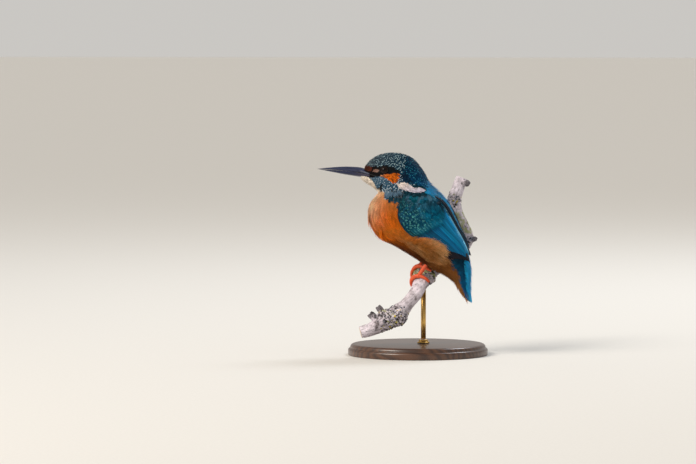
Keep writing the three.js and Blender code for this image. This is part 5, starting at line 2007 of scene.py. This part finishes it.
@dataclass
class Perch:
    """The cut branch with its stubs and its lichen."""

    branch: Branch
    stubs: tuple[Stub, ...] = (
        Stub(2.2, -115, 6, 3.2, 2.6, -0.35), Stub(2.75, -112, 6.5, 3.0, 2.2, -0.1),
        Stub(11.0, 0, 7.5, 4.0, 1.8, 0.1), Stub(15.5, 10, 4.4, 2.9, 2.4, 0.25),
    )
    rings: int = 420
    sides: int = 72
    worn: float = 0.14
    lichen_gap: float = 1.5
    lichen_share: float = 0.42
    # one yellow tone, one green, and greys
    lichens: tuple[int, ...] = (0xC4B048, 0x9A9C84, 0xD2D2D4, 0xB4B4BC, 0x80828C, 0x5C606A, 0x464448)

    def rough(self, ab: Array) -> Array:
        """Height of the bark's ridges and scars over its smooth form."""
        k, a = ab[..., 0], ab[..., 1]
        ridges = 0.1 * np.sin(9 * a + 4 * np.sin(1.7 * k)) + 0.08 * np.sin(17 * a - 9 * k + 2 * np.sin(5 * k))
        rings = 0.09 * np.sin(34 * k + 2 * np.sin(3 * a)) * smooth(np.sin(2.1 * k + a) + 0.4)
        lumps = 0.45 * self.branch.knotty(k) * np.sin(7 * a + 11 * k) * np.sin(5 * a - 23 * k)
        return ridges + rings + lumps

    def bark(self) -> Mesh:
        """The branch, whose first and last rings are sawn ends."""
        last = len(self.branch.rows) - 1
        stations = np.concatenate([[0, 0], np.linspace(0, last, self.rings), [last, last]])
        ab = grid(stations, corners(self.sides))
        k, angle = ab[..., 0], ab[..., 1]
        centre = self.branch.axes(k)[0]
        bark = self.branch.off(k, angle, self.rough(ab)) - centre
        sawn = np.zeros(k.shape)
        sawn[[0, -1]] = 1.0
        knotty = self.branch.knotty(k, 1.15)
        green = 0.95 * smooth((k - 10.9) / 0.6) * smooth((13.6 - k) / 0.8)
        # the hollow knots are darkened as painted shade in their holes
        dark = sum(0.95 * bell(knot.off(k, angle)) for knot in self.branch.knots if knot.high < 0)
        rgb = columns(sawn, np.clip(1.1 * knotty, 0, 1), dark)
        colour = painted(rgb, np.clip(0.64 * knotty + green, 0, 0.95))
        # the rim of each sawn end is worn round
        return tube(centre + bark * (1 - self.worn * sawn)[..., None], colour)

    def stub(self, stub: Stub) -> Mesh:
        """One broken twig with a torn end."""
        centre, direction, first, second, radius = (v[0] for v in self.branch.axes(np.array([stub.along])))
        turn = math.radians(stub.angle)
        out = unit(first * math.cos(turn) + second * math.sin(turn) + direction * stub.lean)
        steps, sides = 34, 28
        u, angle = np.linspace(0, 1, steps)[:, None], corners(sides)
        path = centre + out * (radius + stub.long) * u
        middle = (stub.root + stub.end) / 2
        radii = np.interp(u, [0, 0.5, 0.85, 1], [stub.root, middle, stub.end * 1.15, stub.end])
        rough = 0.12 * np.sin(5 * angle + 9 * u) + 0.08 * np.sin(9 * angle - 14 * u)
        rings = round_section(path, radii + rough, sides)
        # the last rings are torn into four points
        torn = 0.5 * np.sin(4 * angle) * (np.arange(steps) > steps - 4)[:, None]
        rgb = columns(0.0, 0.9, 0.75 * smooth((u - 0.55) / 0.4) * np.ones(sides))
        return tube(rings + torn[..., None] * out, painted(rgb, 0.5))

    def lichen(self) -> Mesh:
        """Small crusty rosettes about the knots."""
        def near_knots(ab: Array) -> Array:
            return self.branch.knotty(ab[..., 0], 1.3, hollows=True) > 0.3

        places = scatter(self.branch, (0.3, -math.pi), (15.6, math.pi), self.lichen_gap, near_knots, 81)
        rng = np.random.default_rng(82)
        rosettes = []
        sides = 14
        # from a rosette's middle out to its rim, as shares of its size
        reach = np.array([0.05, 0.45, 0.8, 1.0, 0.9])
        high = np.array([0.42, 0.46, 0.36, 0.1, -0.2])
        tones = np.array([linear(colour) for colour in self.lichens])
        for place in places[rng.random(len(places)) < self.lichen_share]:
            size = rng.uniform(0.35, 0.95)
            centre = self.branch.place(place[None], self.rough(place[None]) - 0.05)[0]
            normal = self.branch.normal(place[None])[0]
            side = unit(np.cross(normal, [0.3, 0.5, 0.8]))
            lobes = 1 + 0.25 * np.sin(rng.integers(3, 6) * corners(sides) + rng.uniform(0, 6))
            lobes = lobes + rng.normal(0, 0.06, sides)
            middles = centre + (size * high)[:, None] * normal
            rings = hoops(middles, side, np.cross(normal, side), size * reach[:, None] * lobes, sides)
            tone = tones[rng.integers(len(tones))] * rng.uniform(0.7, 1.1)
            rosettes.append(tube(rings, painted(np.broadcast_to(tone, rings.shape), 1.0)))
        return joined(rosettes)

    def build(self) -> None:
        """The branch, and the lichen on it."""
        pieces = [self.bark(), *[self.stub(s) for s in self.stubs]]
        build("perch_bark", joined(pieces), BarkFinish().material(), ("perch",))
        build("perch_lichen", self.lichen(), LichenFinish().material())


# ---------------------------------------------------------------- stand
@dataclass
class Stand:
    """The turned base, and the rod that carries the branch."""

    radius: float = 56.0
    height: float = 9.0
    rod: tuple[float, float] = (4.2, 1.5)
    rod_radius: float = 2.0
    rod_top: float = 56.0
    collar: float = 5.0
    gap: float = 0.3

    def turned(self, profile: list[tuple[float, float]], x: float, y: float, sides: int) -> Mesh:
        """A lathe-turned form from (radius, height) points about an upright axis."""
        r, z = np.array(profile, float).T
        return tube(hoops(columns(x, y, z), *np.eye(3)[:2], r, sides))

    def arc(self, r: float, z: float, size: float, start: float, end: float) -> list[tuple[float, float]]:
        """Points of a round moulding about (r, z), by angle in degrees."""
        turn = np.radians(np.linspace(start, end, 8))
        return [(r + size * math.cos(a), z + size * math.sin(a)) for a in turn]

    def build(self) -> None:
        """Base, collar and rod."""
        r, h = self.radius, self.height
        base = [
            (0.5, 0.0), (r - 1.4, 0.0), *self.arc(r - 0.8, 0.8, 0.8, -90, 0),
            *self.arc(r - 2.0, h - 5.2, 2.0, 0, 78), (r - 1.9, h - 3.0),
            *self.arc(r - 4.6, h - 2.9, 2.9, 8, 90), (0.5, h),
        ]
        wood, brass = WalnutFinish().material(), BrassFinish().material()
        build("stand_base_turned", self.turned(base, 0, 0, 160), wood, ("stand_base",))
        foot = h + self.gap
        c = self.collar
        collar = [
            (0.3, foot), (c - 0.3, foot), *self.arc(c - 0.6, foot + 0.6, 0.6, -60, 70), (c - 1.4, foot + 1.4),
            *self.arc(c - 1.9, foot + 2.1, 0.8, -40, 90), (0.3, foot + 2.95),
        ]
        start = foot + 3.0 + self.gap
        thick = self.rod_radius
        top = self.rod_top
        rod = [(0.2, start), (thick - 0.2, start), (thick, start + 0.2), (thick, top), (0.2, top)]
        for name, profile, sides in (("collar", collar, 72), ("rod", rod, 48)):
            turned = self.turned(profile, *self.rod, sides)
            build(f"stand_{name}_turned", turned, brass, (f"stand_{name}",))


# ---------------------------------------------------------------- studio
@dataclass
class Studio:
    """A pale floor, soft lights, and the camera."""

    azimuth: float = 12.0
    elevation: float = 3.0
    distance: float = 3.0
    frame_width: float = 0.5568
    aim_across: float = -0.056
    aim_height: float = 0.0984
    sensor: float = 36.0
    horizon: float = 0.64
    zenith: float = 0.42
    sun_strength: float = 1.7
    sun_angle: float = math.radians(32)
    floor_reach: float = 40.0

    def floor(self) -> None:
        """A wide matt floor."""
        data = bpy.data.meshes.new("floor")
        far = self.floor_reach
        data.from_pydata([(-far, -far, 0), (far, -far, 0), (far, far, 0), (-far, far, 0)], [], [(0, 1, 2, 3)])
        data.materials.append(FloorFinish().material())
        plane = bpy.data.objects.new("floor", data)
        bpy.context.scene.collection.objects.link(plane)

    def light(self, name: str, place: tuple[float, ...], size: float, power: float, tint: int) -> None:
        """A square soft light that looks at the bird."""
        data = bpy.data.lights.new(name, "AREA")
        data.size = size
        data.energy = power
        data.color = linear(tint)
        lamp = bpy.data.objects.new(name, data)
        lamp.location = place
        lamp.rotation_euler = (Vector((0, 0, 0.1)) - Vector(place)).to_track_quat("-Z", "Y").to_euler()
        bpy.context.scene.collection.objects.link(lamp)

    def room(self) -> None:
        """Pale surroundings, as bright at eye level as the floor, and dimmer overhead."""
        world = bpy.data.worlds.new("pale_room")
        world.use_nodes = True
        tree = world.node_tree
        tree.nodes.clear()
        way = add_node(tree, "TexCoord")
        up = add_node(tree, "SeparateXYZ", None, {0: way.outputs["Generated"]}).outputs[2]
        levels = {0: up, 1: 0.05, 2: 0.5, 3: self.horizon, 4: self.zenith}
        glow = add_node(tree, "MapRange", {"interpolation_type": "SMOOTHSTEP"}, levels)
        light = {"Color": rgba(0xF6F3EE), "Strength": glow.outputs[0]}
        background = add_node(tree, "Background", None, light)
        add_node(tree, "OutputWorld", None, {"Surface": background.outputs[0]})
        bpy.context.scene.world = world

    def sun(self) -> None:
        """A wide soft sun, which lights the whole floor evenly."""
        data = bpy.data.lights.new("soft_sun", "SUN")
        data.energy = self.sun_strength
        data.angle = self.sun_angle
        data.color = linear(0xFFF7EC)
        lamp = bpy.data.objects.new("soft_sun", data)
        lamp.rotation_euler = Vector((0.62, 0.55, -0.72)).to_track_quat("-Z", "Y").to_euler()
        bpy.context.scene.collection.objects.link(lamp)

    def build(self) -> None:
        """Floor, lights, surroundings and camera."""
        self.floor()
        self.sun()
        self.light("key", (-1.0, -1.3, 1.2), 0.5, 12.0, 0xFFF6EA)
        self.light("rim", (0.5, 1.0, 1.5), 0.6, 12.0, 0xF2F8FF)
        self.room()
        # plain reproduction of colour, which keeps the blue and the orange as strong as they are
        bpy.context.scene.view_settings.view_transform = "Standard"
        self.camera()

    def camera(self) -> None:
        """The camera, level with the bird and a little above it."""
        a, e = math.radians(self.azimuth), math.radians(self.elevation)
        back = Vector((math.sin(a) * math.cos(e), -math.cos(a) * math.cos(e), math.sin(e)))
        aim = Vector((self.aim_across * math.cos(a), self.aim_across * math.sin(a), self.aim_height))
        data = bpy.data.cameras.new("camera")
        data.sensor_width = self.sensor
        data.lens = self.sensor * self.distance / self.frame_width
        data.clip_start, data.clip_end = 0.1, 100.0
        camera = bpy.data.objects.new("camera", data)
        turn = (-back).to_track_quat("-Z", "Y").to_matrix().to_4x4()
        camera.matrix_world = Matrix.Translation(aim + back * self.distance) @ turn
        bpy.context.scene.collection.objects.link(camera)
        bpy.context.scene.camera = camera


def main() -> None:
    """Builds every piece in order."""
    logging.basicConfig(level=logging.INFO, format="%(message)s")
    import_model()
    body = Body()
    head = Head(body)
    coat = Coat(body, head, Markings(body))
    coat.skin()
    coat.feathers()
    head.eyes()
    head.build_bill()
    head.gape()
    wing = Wing(body)
    flight = FeatherFinish("flight_vanes", 60, roughness=0.4, root=0.75, tip=1.05, gloss=0.1,
                           strands=3.0, streak=0.35, edge=2.0).material()
    coverts = FeatherFinish("spotted_coverts", 12, 0x72D0CE, 0.82, 0.11, 0.36, roughness=0.5, gloss=0.06,
                            root=0.6, tip=1.15, strands=3.0, streak=0.35, edge=1.5).material()
    for name, mirrored, seed, reach in (("wing_left", False, 31, 1.0), ("wing_right", True, 47, 0.955)):
        WingCoat(wing, name, mirrored, seed, reach).build(flight, coverts)
    FlankPuff(body).build()
    TailCoat(Tail()).build()
    branch = Branch()
    skin = FootFinish().material()
    horn = HornFinish("claw_horn", 0x17100E, 0x3A2A24, 0.3, 20).material()
    Foot(branch, "left", 7.0, -70, (11.0, -6.5, 77.0)).build(skin, horn)
    Foot(branch, "right", 8.0, -92, (8.0, 6.5, 80.0)).build(skin, horn)
    Perch(branch).build()
    Stand().build()
    Studio().build()


if __name__ == "__main__":
    main()
